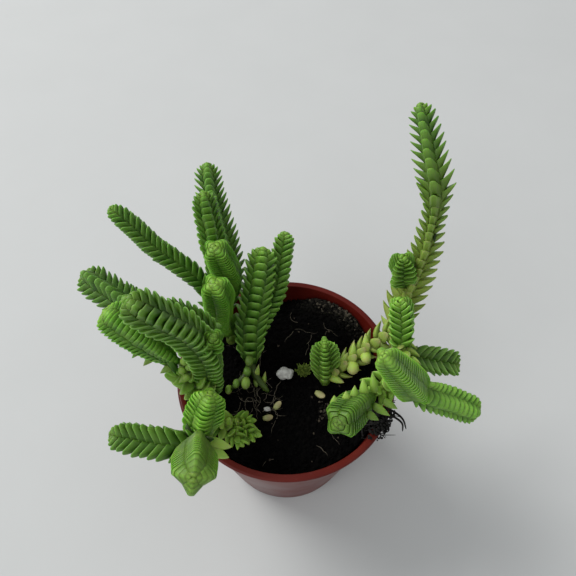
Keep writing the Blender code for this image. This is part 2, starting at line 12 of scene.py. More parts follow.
import bmesh
import bpy
import numpy as np
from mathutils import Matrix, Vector

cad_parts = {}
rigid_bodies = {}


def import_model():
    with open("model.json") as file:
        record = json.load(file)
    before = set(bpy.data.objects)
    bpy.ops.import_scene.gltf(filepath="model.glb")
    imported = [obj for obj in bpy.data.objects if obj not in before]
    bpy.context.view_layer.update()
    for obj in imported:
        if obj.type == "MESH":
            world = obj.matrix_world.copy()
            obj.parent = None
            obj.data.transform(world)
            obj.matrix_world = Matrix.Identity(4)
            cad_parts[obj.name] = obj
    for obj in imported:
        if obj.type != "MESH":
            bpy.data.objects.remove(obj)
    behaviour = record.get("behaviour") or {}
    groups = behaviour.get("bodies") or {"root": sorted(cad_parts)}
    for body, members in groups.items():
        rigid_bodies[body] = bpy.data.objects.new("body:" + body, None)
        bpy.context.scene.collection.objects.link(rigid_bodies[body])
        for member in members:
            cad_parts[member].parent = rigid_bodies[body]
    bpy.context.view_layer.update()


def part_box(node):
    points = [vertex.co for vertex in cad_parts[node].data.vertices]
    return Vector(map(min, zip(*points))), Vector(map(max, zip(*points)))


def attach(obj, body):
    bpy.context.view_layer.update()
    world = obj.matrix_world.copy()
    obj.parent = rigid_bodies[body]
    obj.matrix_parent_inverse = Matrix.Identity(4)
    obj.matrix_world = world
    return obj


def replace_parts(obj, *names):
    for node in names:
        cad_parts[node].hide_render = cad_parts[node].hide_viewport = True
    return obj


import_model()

MM = 0.001
FULL_TURN = 2 * math.pi
GOLDEN_TURN = math.radians(137.5)
SEED = 11

# Camera, as solved from the pot's lip and base
CAMERA_PLACE = (0.0004, -0.0622, 0.1766)
CAMERA_TILT = math.radians(34.2)
CAMERA_LENS = 35.0
CAMERA_SENSOR = 36.0

# Pot, as in the CAD
POT_HEIGHT = 48 * MM
RIM_RADIUS = 27.5 * MM
BASE_RADIUS = 19.3 * MM
WALL = 0.9 * MM
FLOOR = 1.0 * MM
LIP_WIDTH = 1.3 * MM
LIP_HEIGHT = 1.2 * MM
FOOT_BEVEL = 0.6 * MM
POT_SIDES = 160
DRAIN_HOLES = 6
DRAIN_RADIUS = 1.8 * MM
DRAIN_RING = 13.5 * MM
DRAIN_SIDES = 32

# Soil, with a low mound on it as in the CAD, and a bank against the wall at the back right: a
# crescent, whose middle and half length are in degrees and whose start and slope in millimetres
SOIL_TOP = 42.0 * MM
SOIL_GAP = 0.3 * MM
SOIL_SIDES = 150
SOIL_RINGS = 42
MOUND_CENTRE = (0.014, 0.017)
MOUND_REACH = 9 * MM
MOUND_HEIGHT = 2.0 * MM
BANK_HEIGHT = 2.5 * MM
BANK_TURN = 54
BANK_SPREAD = 36
BANK_START = 19.2
BANK_SLOPE = 4.6
# How many things lie on it and over the rim, how far out a fibre may lie, and any heading at random
CRUMBS, BANK_CRUMBS, LUMPS, FRONT_CRUMBS = 1500, 800, 70, 60
FRONT_HAIRS, HAIRS, MOSS_BLADES, RIM_ROOTS, RIM_CRUMBS = 34, 26, 150, 64, 230
FIBRE_REACH = 23.5
HEADINGS = (0, 6.28)

# Tight leaves make a square column, like shingles. Lean is how far a tip stands above its root,
# against its reach. Drop is how far its margin falls towards the groove, in steps between leaves
# of one rank, and arch the share of that within the tip. Blunt is the half width of a tip, and
# bulge how far it bows out, against that. Tooth is how far a tip stands out past the leaf above,
# step the same in the groove, and ease how fast one turns into the other. Groove is the groove's
# place against a flat side, nose a margin's half thickness, bend and fill how full the back is,
# and core the stem's radius.
Scale = namedtuple("Scale", "lean drop arch blunt bulge tooth step ease groove nose bend fill core")
SCALE_UNITS = Scale(1, 1, 1, MM, 1, MM, MM, 1, 1, MM, 1, 1, MM)


def scale_row(*row):
    """A scale from a row of shares and millimetres."""
    return Scale(*(value * measure for value, measure in zip(row, SCALE_UNITS)))


def between(one, other, share):
    return Scale(*(a + (b - a) * share for a, b in zip(one, other)))


FINE = scale_row(0.50, 0.70, 0.15, 0.90, 0.50, 0.44, 0.08, 1.4, 0.88, 0.13, 1.1, 0.45, 1.2)
KEELED = scale_row(0.50, 0.60, 0.20, 0.95, 0.60, 0.66, 0.03, 2.2, 0.88, 0.15, 1.1, 0.40, 1.2)
FACING = scale_row(0.50, 0.60, 0.20, 0.85, 0.60, 0.24, 0.01, 3.0, 0.88, 0.08, 1.2, 0.50, 1.2)
RIBBED = scale_row(0.50, 0.75, 0.25, 1.30, 0.60, 0.62, 0.09, 1.5, 0.88, 0.20, 0.9, 0.35, 1.2)
TIGHT = scale_row(0.58, 0.95, 0.12, 1.00, 0.45, 0.82, 0.12, 1.3, 0.74, 0.26, 0.85, 0.2, 1.2)
LADDER = scale_row(0.58, 0.80, 0.08, 0.90, 0.40, 1.00, 0.12, 1.4, 0.72, 0.34, 0.8, 0.0, 1.2)
LOBED = scale_row(0.58, 1.00, 0.35, 0.95, 0.75, 1.00, 0.05, 1.8, 0.80, 0.28, 1.3, 0.25, 1.2)
CHEVRON = scale_row(0.62, 1.50, 0.20, 0.80, 0.50, 0.80, 0.14, 1.1, 0.74, 0.22, 1.0, 0.3, 1.2)
TOOTHED = scale_row(0.58, 1.15, 0.20, 0.70, 0.50, 1.25, 0.18, 1.2, 0.70, 0.20, 1.3, 0.5, 1.2)
CLAWS = scale_row(0.50, 0.85, 0.30, 0.42, 0.60, 2.20, 0.30, 1.0, 0.46, 0.12, 1.3, 0.35, 1.1)

# The leaves of each form at the shoot's start and at its end, the steps between the leaves of one
# rank at both, how pale their margins are, how long the dome is that closes the shoot, how far the
# leaves perk up from it, and how far the ranks in front and behind stand out against the others
Form = namedtuple("Form", "start end pitch margin closing perk press")
FORM_ROWS = {
    "fine": (FINE, FINE, (1.05, 1.0), 0.4, 1.9, 0.15, 0.7),
    "keeled": (KEELED, KEELED, (1.05, 0.95), 0.6, 2.4, 0.2, 0.55),
    "facing": (FACING, FACING, (1.3, 1.2), 0.3, 2.6, 0.0, 0.35),
    "ribbed": (RIBBED, RIBBED, (1.25, 1.15), 0.6, 2.8, 0.3, 0.7),
    "scales": (TIGHT, TIGHT, (1.9, 1.7), 0.6, 3.6, 0.35, 0.6),
    "ladder": (LADDER, LADDER, (2.15, 2.0), 0.8, 3.8, 0.35, 1.0),
    "lobed": (LOBED, LOBED, (2.25, 2.0), 1.0, 3.4, 0.1, 0.85),
    "chevron": (CHEVRON, CHEVRON, (1.8, 1.7), 0.9, 3.6, 0.3, 1.0),
    "toothed": (TOOTHED, between(TOOTHED, TIGHT, 0.3), (1.8, 1.6), 0.8, 3.8, 0.4, 0.5),
    "barbed": (between(TOOTHED, CLAWS, 0.7), between(TOOTHED, CLAWS, 0.5), (1.9, 1.6), 1.3, 3.6,
               0.5, 1.0),
    "claws": (CLAWS, between(CLAWS, TIGHT, 0.6), (2.9, 1.7), 0.4, 3.8, 0.4, 0.35),
}
FORMS = {name: Form(start, end, [step * MM for step in pitch], margin, closing * MM, perk, press)
         for name, (start, end, pitch, margin, closing, perk, press) in FORM_ROWS.items()}
# How far a shoot's last tips pass its end, and how far its dome turns in, in radians
TIP_PAST = 0.9 * MM
DOME_TURN = 1.5

# Free leaves, which stand apart. Pitch is the step between the leaves of one rank. Rise is how far
# a tip stands above its root and fat how thick the leaf is, both against the pitch. Wide is its
# width against its reach, and core the stem's radius.
Growth = namedtuple("Growth", "pitch rise fat wide core")
LOOSE = {
    "leaves": Growth(2.6 * MM, 0.95, 0.70, 0.75, 1.15 * MM),
    "young": Growth(1.9 * MM, 0.9, 0.66, 0.9, 0.7 * MM),
}
# Leaves shrink towards the bud, and at a shoot's start
BUD_LENGTH = 5.0 * MM
START_SHARE = 0.55
BUD_SHARE = 0.50

# A shoot's age colours it: 0 is fresh green and 1 old and yellow, at its start and at its end.
# Light is how bright it is against its stem: partly its own tone and partly painted light and
# shade, for a shoot that stands lit or in shade. Points are x, y, z and the width over the leaf
# tips, in millimetres.
Shoot = namedtuple("Shoot", "form roll age light points")


def foot(x, y, top=46):
    """The bare stem that the shoots rise from, out of the soil."""
    return Shoot("foot", 0, (0.6, 0.6), 1, ((x, y, 38, 3), (x, y, top, 3)))


LEFT_STEM = (
    foot(-19, -3),
    Shoot("lobed", 8, (0.25, 0.15), 0.8, ((-19, -3, 43, 6), (-18.5, -3.5, 55, 9),
        (-18.5, -4.5, 67, 9), (-21, -5, 77, 8.8), (-25, -6, 84, 8.6), (-29, -6.5, 90, 8))),
    Shoot("leaves", 20, (0.65, 0.45), 1.0, ((-19, -3, 45, 6), (-21, -5.5, 52, 9),
        (-25, -6, 60, 10))),
    Shoot("keeled", 0, (0.3, 0.1), 1.3, ((-25.5, -4.2, 61.8, 4.5), (-28.8, -3.4, 66, 6.2),
        (-33, -2.2, 71.2, 8.2), (-38, 0, 75.5, 8))),
    Shoot("toothed", 0, (0.3, 0.1), 0.72, ((-26, -5, 62, 5), (-31, 1, 66.5, 8), (-36, 6, 68.8, 8.8),
        (-46.5, 13, 71, 8))),
    Shoot("scales", 0, (0.2, 0.2), 0.7, ((-32, 2, 66, 4), (-35.7, 7.8, 67, 6.5),
        (-38.7, 11.5, 68, 6))),
    Shoot("scales", 0, (0.2, 0.1), 0.75, ((-18.5, -3.5, 57, 5), (-17.5, 0, 64.5, 7),
        (-21, 0.5, 71.5, 7.4), (-26, 1, 76.3, 6.5))),
    Shoot("scales", 0, (0.3, 0.3), 0.85, ((-18.5, -4, 66, 4), (-16.5, -4.5, 70, 6),
        (-15.3, -5.2, 74, 6))),
)
BACK_STEM = (
    foot(-15, 12),
    Shoot("leaves", 0, (0.5, 0.35), 1.0, ((-15, 12, 44.5, 6), (-17, 14, 51, 8), (-19.5, 17, 57, 8),
        (-21, 18.5, 60, 7))),
    Shoot("toothed", 45, (0.3, 0.1), 0.85, ((-19.5, 17, 57.5, 5), (-24, 20, 62.5, 8),
        (-32, 23.5, 68, 8), (-38, 27, 73, 7.6), (-42, 29.2, 75.5, 7))),
    Shoot("toothed", 0, (0.2, 0.1), 0.9, ((-17, 14, 50.5, 5), (-15.5, 19, 56, 7.5),
        (-15, 23, 61, 8.6), (-16.5, 28.5, 67, 8.8), (-18.8, 35.5, 73, 8), (-19.8, 41.5, 78, 6.8))),
    Shoot("scales", 0, (0.2, 0.15), 0.9, ((-19, 17, 57, 4), (-17, 20.5, 66, 6.5),
        (-17.5, 22, 73, 6.8), (-18.7, 26, 84, 6))),
    Shoot("fine", 20, (0.2, 0.25), 1.2, ((-16.5, 15.5, 53, 4), (-14.2, 19, 59.5, 7),
        (-15, 17.5, 69, 8), (-16, 15.8, 77.5, 6.6))),
    Shoot("fine", 20, (0.2, 0.25), 1.4, ((-15, 12, 46, 4), (-16.5, 11.5, 52, 6.5),
        (-16.6, 11, 58, 7.6), (-15.9, 10, 66, 8.4), (-16, 8.6, 73.5, 7))),
)
LADDER_STEM = (
    foot(-9.3, 5),
    Shoot("ladder", 0, (0.3, 0.1), 1.15, ((-9.3, 5, 43.5, 5), (-9.3, 7, 49, 7.6),
        (-9, 10.5, 54, 8.4), (-7.8, 14, 59, 8.6), (-5.7, 21.5, 69.4, 7.8))),
    Shoot("toothed", 45, (0.2, 0.1), 0.9, ((-9.3, 6.5, 46, 4), (-5.6, 13.5, 53, 7.4),
        (-2.7, 18.2, 58.3, 8.4), (-0.3, 27.2, 68.4, 7.6))),
    Shoot("stalk", 0, (0.5, 0.5), 0.5, ((-9.3, 4.8, 44, 2), (-8, 0.5, 44, 1.8),
        (-4.6, -3.6, 43, 1.2))),
    Shoot("stalk", 0, (0.5, 0.5), 0.5, ((-9.4, 4.8, 44, 2), (-10.5, 0, 45, 1.8),
        (-14.2, -3, 43.4, 1.2))),
)
FRONT_STEM = (
    foot(-13, -13),
    Shoot("leaves", 0, (0.7, 0.55), 1.1, ((-13, -13, 45, 5.5), (-14.5, -14.5, 49.5, 7),
        (-17.5, -17.5, 54, 7))),
    Shoot("keeled", 0, (0.35, 0.3), 1.35, ((-17, -17, 52, 4), (-18.7, -18.3, 56, 6.5),
        (-18, -16.8, 59.8, 9), (-16.4, -14, 64.5, 7.6))),
    Shoot("facing", 0, (0.5, 0.4), 0.9, ((-17, -17.5, 52.5, 3.5), (-18.7, -22, 59, 4.4),
        (-17.6, -28, 68, 8.8), (-16, -34.5, 77.5, 8))),
    Shoot("toothed", 40, (0.2, 0.1), 0.65, ((-16.5, -17.5, 53, 4), (-21.5, -22, 57.5, 9),
        (-29, -22, 58.8, 9.8), (-37, -20.8, 59.6, 8.4))),
    Shoot("young", 0, (0.62, 0.5), 1.1, ((-13, -13, 45.5, 4), (-10.5, -13.7, 48.5, 6),
        (-8.3, -14.4, 51.2, 6))),
    Shoot("young", 30, (0.62, 0.5), 1.1, ((-13, -14, 46.5, 4), (-10, -16, 48.8, 6),
        (-7, -18, 51, 6))),
    Shoot("young", 0, (0.62, 0.5), 1.1, ((-14, -14.3, 48.5, 4), (-12, -17.5, 50, 6),
        (-10.2, -20, 51.2, 6))),
)
RIGHT_STEM = (
    foot(10, 0, 45),
    Shoot("toothed", 0, (0.5, 0.3), 0.95, ((10, 0, 43.3, 5.5), (9.9, 0.8, 47, 7.6),
        (9.6, 2, 52, 7.8), (9.3, 2.9, 56.8, 6.6))),
    Shoot("leaves", 0, (0.95, 0.75), 0.8, ((10, 0, 44.3, 5), (14.5, 1.5, 47, 7), (19, 4.5, 49.3, 7),
        (23.5, 6.5, 52.4, 7), (27, 7.6, 54.6, 8), (29.7, 11, 56, 8))),
    Shoot("claws", 0, (1.0, 0.25), 0.8, ((27, 7.6, 54.6, 8), (27.9, 10.8, 56, 9.2),
        (29.5, 13.8, 60.5, 10), (31.1, 16.4, 66.7, 9.5), (32.4, 18.3, 74, 7.9),
        (32.7, 20.2, 79.5, 6.6), (32.8, 21.3, 84, 5.8), (32.6, 22.2, 86.6, 6.2),
        (32.2, 23.8, 89.4, 8.4), (31, 27.8, 93, 8.2), (29.6, 33.2, 97, 7), (28.8, 37, 99.3, 6))),
    Shoot("toothed", 45, (0.35, 0.1), 0.85, ((29.2, 15.4, 64.5, 4.5), (27.9, 15, 68, 8.4),
        (27.1, 14.4, 71.3, 8.9), (26.3, 13.9, 76.3, 7.2))),
    Shoot("chevron", 45, (0.35, 0.15), 1.25, ((28, 5, 54.3, 4), (28, 4, 57, 7.8),
        (27.4, 6.2, 62.2, 8.6), (26.6, 8.6, 66.9, 8))),
    Shoot("leaves", 0, (0.75, 0.6), 1.0, ((27, 7.6, 54.6, 6), (28.3, 3, 55, 6.5),
        (29, -4, 56.5, 6.5), (28.7, -9, 58.5, 6.5))),
    Shoot("facing", 0, (0.35, 0.3), 1.28, ((28.8, -8, 57.5, 4), (28.3, -11, 62, 8),
        (24.5, -12.7, 71, 8), (18.5, -14, 83, 5.4))),
    Shoot("ribbed", 12, (0.3, 0.15), 1.1, ((28.8, -7, 57, 4), (32, -9.5, 55.6, 7.4),
        (38, -11, 54.2, 7.8), (44, -12.8, 53, 7.2))),
    Shoot("barbed", 38, (0.2, 0.1), 0.7, ((28.4, 1, 55, 4), (33, 1, 52.8, 8.8),
        (37.4, 0.5, 51.9, 9.8), (42, 0.4, 50.6, 8.6))),
    Shoot("leaves", 0, (0.6, 0.5), 1.25, ((28.9, -5, 56.6, 6), (22.5, -8.7, 57.8, 9),
        (18, -12, 59, 9))),
    Shoot("fine", 0, (0.4, 0.3), 0.7, ((18.4, -11.9, 59.2, 4.5), (15.9, -14.3, 60.8, 7.4),
        (13.4, -17.1, 62.8, 8.4), (11, -20.3, 65.8, 8))),
)
# Each stem's shoots, the deep green of its leaves, darkened as painted shade on their backs and in
# the grooves, and the fresh green of their tips, partly a painted highlight
STEMS = {
    "left_stem": (LEFT_STEM, (0.024, 0.082, 0.005), (0.125, 0.295, 0.030)),
    "back_left_stem": (BACK_STEM, (0.022, 0.076, 0.005), (0.120, 0.280, 0.030)),
    "ladder_stem": (LADDER_STEM, (0.020, 0.072, 0.005), (0.155, 0.330, 0.045)),
    "front_left_stem": (FRONT_STEM, (0.042, 0.125, 0.007), (0.165, 0.350, 0.040)),
    "right_stem": (RIGHT_STEM, (0.032, 0.100, 0.007), (0.155, 0.330, 0.040)),
}

# Leaves that stand apart from the ranks, by stem. Point is 1 for a pointed leaf and 0 for a bead.
# Light is partly the leaf's own tone and partly painted light and shade, as for a shoot.
Single = namedtuple("Single", "root tip wide thick point age light")
SINGLES = {
    "left_stem": (
        ((-29.1, -3.9, 65.1), (-31.8, -6.6, 63.9), 2.1, 1.3, 1, 0.6, 0.75),
        ((-25.5, -5.1, 61.9), (-28.4, -7.3, 61.6), 2.1, 1.3, 1, 0.6, 0.8),
        ((-22.2, -6.7, 59.6), (-24.4, -8.6, 59.5), 2.1, 1.4, 1, 0.6, 0.9),
        ((-31.2, -3.4, 67.8), (-33.8, -6.1, 66.6), 1.8, 1.2, 1, 0.5, 0.75),
        ((-23.2, -2.9, 64.6), (-23.8, -4.4, 64.0), 1.9, 1.7, 0.3, 0.55, 0.9),
        ((-22.6, -4.6, 63.4), (-23.4, -5.9, 63.0), 2.0, 1.8, 0.2, 0.6, 1.0),
        ((-23.1, -5.9, 62.0), (-23.9, -7.4, 61.5), 2.0, 1.7, 0.4, 0.6, 0.95),
        ((-21.6, -5.5, 62.8), (-22.0, -7.0, 62.3), 1.8, 1.7, 0.1, 0.55, 0.8),
        ((-24.7, -3.5, 61.8), (-26.3, -4.8, 61.3), 2.1, 1.3, 1, 0.6, 0.85),
        ((-22.1, -7.0, 60.6), (-23.1, -8.3, 60.2), 2.0, 1.7, 0.5, 0.6, 0.9),
    ),
    "ladder_stem": (
        ((-9.4, 4.0, 48.7), (-9.4, 0.8, 49.0), 2.1, 2.0, 0, 0.5, 0.6),
        ((-9.9, 1.5, 47.0), (-10.0, -1.0, 47.2), 1.9, 1.8, 0, 0.45, 0.75),
        ((-10.2, -0.6, 45.6), (-10.4, -4.0, 45.7), 2.2, 2.1, 0, 0.6, 1.05),
        ((-12.7, -0.8, 44.8), (-12.9, -3.4, 44.9), 1.7, 1.6, 0, 0.5, 0.9),
        ((-14.8, -1.7, 43.0), (-14.9, -4.2, 43.1), 1.8, 1.7, 0, 0.6, 1.25),
        ((-7.9, 0.0, 43.6), (-7.7, -2.3, 43.2), 1.7, 1.6, 0.3, 0.6, 0.8),
        ((-6.1, -0.8, 41.8), (-5.0, -3.4, 41.3), 1.9, 1.7, 0.2, 0.65, 0.95),
        ((-7.9, 0.0, 43.0), (-7.1, 2.6, 46.5), 1.5, 1.3, 1, 0.75, 1.15),
        ((-6.1, -1.1, 41.6), (-5.4, 1.3, 45.1), 1.4, 1.2, 1, 0.75, 1.0),
    ),
    "front_left_stem": (
        ((-21.2, -23.1, 58.1), (-23.7, -23.0, 59.4), 2.3, 1.0, 1, 0.6, 1.3),
        ((-16.7, -21.4, 57.5), (-11.7, -22.8, 57.7), 2.7, 1.1, 0.8, 0.68, 1.2),
        ((-16.2, -23.0, 57.0), (-12.3, -24.7, 56.4), 2.5, 1.1, 0.8, 0.62, 1.15),
        # These two near-black leaves stand in the shaded gap where the shoots meet: painted shade
        ((-20.5, -21.4, 59.8), (-21.3, -18.7, 61.3), 1.7, 0.9, 1, 0.0, 0.14),
        ((-17.6, -22.2, 60.8), (-14.9, -22.4, 61.9), 1.7, 0.9, 1, 0.0, 0.14),
    ),
    "right_stem": (
        ((10.4, -16.0, 63.5), (10.2, -14.2, 65.5), 2.2, 1.4, 1, 0.6, 1.05),
        ((13.0, -14.9, 63.0), (12.8, -13.0, 65.1), 2.2, 1.4, 1, 0.65, 1.15),
        ((14.7, -14.2, 62.3), (14.8, -11.6, 64.9), 2.2, 1.4, 1, 0.58, 1.15),
        ((17.1, -13.1, 61.9), (16.7, -9.8, 64.7), 2.2, 1.4, 1, 0.58, 1.2),
        ((19.6, -11.6, 61.1), (18.9, -8.3, 64.5), 2.0, 1.3, 1, 0.55, 1.1),
        ((19.1, -14.3, 60.4), (22.8, -16.3, 59.1), 1.9, 1.1, 1, 0.55, 1.0),
        ((21.6, -12.6, 59.2), (24.9, -14.3, 58.0), 1.9, 1.1, 1, 0.55, 0.85),
        ((17.3, -16.9, 62.3), (19.9, -18.2, 61.4), 1.8, 1.1, 1, 0.5, 0.7),
        ((10.8, -0.6, 46.2), (14.4, -3.1, 47.5), 2.1, 1.7, 0.7, 0.75, 1.3),
        ((16.8, 2.3, 48.8), (16.5, -1.7, 49.7), 3.1, 2.8, 0, 0.8, 1.3),
        ((19.9, 4.6, 50.3), (19.9, 0.6, 51.3), 2.8, 2.6, 0, 0.75, 1.25),
        ((16.6, 2.7, 49.0), (17.0, 5.8, 52.9), 2.0, 1.4, 1, 0.75, 1.2),
        ((13.9, 1.5, 47.0), (15.4, 3.6, 50.9), 2.4, 1.6, 0.9, 0.75, 1.0),
        ((20.2, 4.2, 50.0), (19.9, 7.7, 53.6), 2.3, 1.6, 1, 0.75, 1.2),
        ((33.4, 19.7, 78.7), (33.2, 16.8, 78.5), 1.1, 0.8, 1, 0.0, 0.08),
    ),
}


def polar(radius, turn):
    return radius * math.cos(turn), radius * math.sin(turn)


def unit(vector):
    return vector / np.linalg.norm(vector)


def square_to(vector, along):
    """What is left of a vector at right angles to a direction."""
    return vector - along * np.dot(vector, along)


def circle(place, radius, out, across, sides):
    """Points around a place, in the plane of two directions."""
    turns = (FULL_TURN * k / sides for k in range(sides))
    return [place + radius * (out * math.cos(turn) + across * math.sin(turn)) for turn in turns]


def smooth_route(points, steps=12):
    """Points along a Catmull-Rom curve through the rows, and the length along it, in metres."""
    rows = np.array(points, float) * MM
    ends = np.vstack([2 * rows[0] - rows[1], rows, 2 * rows[-1] - rows[-2]])
    route = []
    for a, b, c, d in zip(ends, ends[1:], ends[2:], ends[3:]):
        for t in np.linspace(0, 1, steps, endpoint=False):
            route.append(0.5 * (2 * b + (c - a) * t + (2 * a - 5 * b + 4 * c - d) * t ** 2
                                + (3 * b - a - 3 * c + d) * t ** 3))
    route = np.array([*route, rows[-1]])
    steps = np.linalg.norm(np.diff(route[:, :3], axis=0), axis=1)
    return route, np.concatenate([[0], np.cumsum(steps)])


def untwisted(line, start, *run):
    """Directions along a line, and sideways ones that don't twist about it."""
    tangents = np.gradient(line, *run, axis=0)
    tangents /= np.linalg.norm(tangents, axis=1)[:, None]
    sides = [np.cross(tangents[0], start)]
    for tangent in tangents:
        sides.append(unit(square_to(sides[-1], tangent)))
    return tangents, np.array(sides[1:])


class Axis:
    """A shoot's centre line: its place, direction, width and a frame that doesn't twist."""

    def __init__(self, points, roll):
        self.route, self.run = smooth_route(points)
        self.length = float(self.run[-1])
        self.tangents, self.sides = untwisted(self.route[:, :3], (0.31, 0.17, 0.93), self.run)
        # Without a roll, a rank of leaves faces the camera halfway up the shoot
        middle = len(self.sides) // 2
        tangent, side = self.tangents[middle], self.sides[middle]
        facing = square_to(np.array(CAMERA_PLACE) - self.route[middle, :3], tangent)
        level = math.atan2(np.dot(facing, np.cross(tangent, side)), np.dot(facing, side))
        self.turn = level + math.radians(roll)

    def width(self, along):
        return float(np.interp(along, self.run, self.route[:, 3]))

    def frame(self, along, angle):
        """Place, direction, and the outward and sideways directions at an angle."""
        inside = min(max(along, 0.0), self.length)
        place, tangent, side = (
            np.array([np.interp(inside, self.run, column) for column in rows.T])
            for rows in (self.route[:, :3], self.tangents, self.sides))
        tangent = unit(tangent)
        side = unit(square_to(side, tangent))
        turn = self.turn + angle
        out = side * math.cos(turn) + np.cross(tangent, side) * math.sin(turn)
        return place + tangent * (along - inside), tangent, out, np.cross(tangent, out)


class Skin:
    """Collects vertices, faces and per-vertex growth values for one mesh."""

    VALUES = ("tip", "edge", "age", "chance", "bud", "light")

    def __init__(self):
        self.points = []
        self.faces = []
        self.values = {name: [] for name in self.VALUES}
        self.count = 0

    def add(self, points, faces, **values):
        self.points.append(points)
        self.faces += [tuple(self.count + i for i in face) for face in faces]
        for name, rows in self.values.items():
            rows.append(np.broadcast_to(np.asarray(values.get(name, 0.0), float), len(points)))
        self.count += len(points)

    def mesh(self, name, smooth=True):
        mesh = bpy.data.meshes.new(name)
        mesh.from_pydata([tuple(p) for p in np.concatenate(self.points)], [], self.faces)
        for key, rows in self.values.items():
            attribute = mesh.attributes.new(f"leaf_{key}", "FLOAT", "POINT")
            attribute.data.foreach_set("value", np.concatenate(rows).astype(np.float32))
        if smooth:
            # The many-sided ends stay flat
            mesh.polygons.foreach_set("use_smooth", [len(face) < 8 for face in self.faces])
        return mesh


def ball(level):
    """Corners and faces of a unit icosphere."""
    work = bmesh.new()
    bmesh.ops.create_icosphere(work, subdivisions=level, radius=1.0)
    points = np.array([v.co[:] for v in work.verts])
    faces = [tuple(v.index for v in f.verts) for f in work.faces]
    work.free()
    return points, faces


def bezier(start, control, end, t):
    start, control, end = (np.asarray(p, float) for p in (start, control, end))
    t = np.asarray(t)[:, None]
    return start * (1 - t) ** 2 + 2 * control * t * (1 - t) + end * t ** 2


def wall_faces(rings, sides):
    """Quads between rings of points."""
    quads = []
    for low in range(0, (rings - 1) * sides, sides):
        for k in range(sides):
            beside = low + (k + 1) % sides
            quads.append((low + k, beside, beside + sides, low + k + sides))
    return quads


def ring_faces(rings, sides):
    """Faces of a body of rings, flat at its root and closed by one tip vertex."""
    top = (rings - 1) * sides
    tip = [(top + k, top + (k + 1) % sides, rings * sides) for k in range(sides)]
    return [tuple(reversed(range(sides))), *wall_faces(rings, sides), *tip]


RING_SIDES = 12
RING_TURNS = FULL_TURN * np.arange(RING_SIDES) / RING_SIDES
RING_COS = np.cos(RING_TURNS)
RING_SIN = np.sin(RING_TURNS)
LEAF_RINGS = np.array((0.0, 0.2, 0.4, 0.58, 0.73, 0.85, 0.94, 0.985))
LEAF_FACES = ring_faces(len(LEAF_RINGS), RING_SIDES)
SINGLE_RINGS = np.array((0.0, 0.1, 0.24, 0.4, 0.56, 0.72, 0.85, 0.95, 0.99))
SINGLE_FACES = ring_faces(len(SINGLE_RINGS), RING_SIDES)


def free_leaf(place, along, out, across, reach, rise, growth, pitch):
    """A leaf that stands apart, from its root in the stem to its tip, as rings and a tip."""
    root = min(0.5 * growth.core, 0.3 * reach)
    fat = growth.fat * pitch
    upper = bezier((root, 0.35 * fat), (0.5 * reach, 0.5 * fat + 0.1 * rise), (reach, rise),
                   LEAF_RINGS)
    lower = bezier((root, -0.45 * fat), (0.75 * reach, -0.95 * fat + 0.25 * rise),
                   (reach, rise - 0.08 * fat), LEAF_RINGS)
    middle = 0.5 * (upper + lower)
    half = 0.5 * (upper - lower)
    # It swells from its root over the first 0.4 of its length, and narrows from 0.42 on
    swell = np.clip(LEAF_RINGS / 0.4, 0, 1)
    wide = growth.wide * 0.5 * reach * (0.55 + 0.45 * np.sin(0.5 * math.pi * swell))
    past = np.clip((LEAF_RINGS - 0.42) / 0.58, 0, 1)
    wide = wide * np.sqrt(1 - past ** 1.7)
    # Its rings are a little square
    sideways = np.sign(RING_COS) * np.abs(RING_COS) ** 0.85
    upward = np.sign(RING_SIN) * np.abs(RING_SIN) ** 0.9
    radial, axial = (middle[:, k, None] + half[:, k, None] * upward for k in (0, 1))
    lateral = (wide[:, None] * sideways)[..., None]
    points = place + radial[..., None] * out + axial[..., None] * along + lateral * across
    tip = place + out * (reach * 1.005) + along * (rise - 0.06 * fat)
    points = np.concatenate([points.reshape(-1, 3), tip[None]])
    tips = np.concatenate([np.repeat(LEAF_RINGS, RING_SIDES), [1.0]])
    edges = np.concatenate([np.tile(np.abs(RING_COS) ** 2, len(LEAF_RINGS)), [0.0]])
    return points, tips, edges


# A tight leaf is a fan of profiles, from one groove past the tip to the other. Each profile runs
# from the core out along the leaf's upper side, round its nose, and down its back to the core.
FAN_TIP = (0.0, 0.35, 0.68, 0.92)
FAN_SIDE = (0.3, 0.66, 1.0)
UPPER_WAY = (0.0, 0.5)
NOSE_WAY = ((1.0, 0.0), (0.25, -0.3), (0.0, 0.45))
BACK_WAY = (0.3, 0.6, 0.95, 1.3)
BACK_MEETS = 0.95
PROFILE_SIDES = len(UPPER_WAY) + len(NOSE_WAY) + len(BACK_WAY) + 1
PROFILE_EDGE = np.array([0, 0, 0.5, 1.0, 0.9, 0.25, 0, 0, 0, 0])
# How near the tip each profile point is: most on the nose, and least on the back under the leaf
# above, where the leaf colour paints shade
PROFILE_TIP = np.array([0.1, 0.5, 0.9, 1.0, 1.0, 0.8, 0.5, 0.25, 0.1, 0.0])


def fan_faces(count, sides):
    """Faces of a body made of a row of closed profiles, flat at both ends."""
    ends = [tuple(range(sides)), tuple(reversed(range((count - 1) * sides, count * sides)))]
    return ends + [(b, a, d, c) for a, b, c, d in wall_faces(count, sides)]


FAN_FACES = fan_faces(2 * (len(FAN_TIP) + len(FAN_SIDE)) - 1, PROFILE_SIDES)


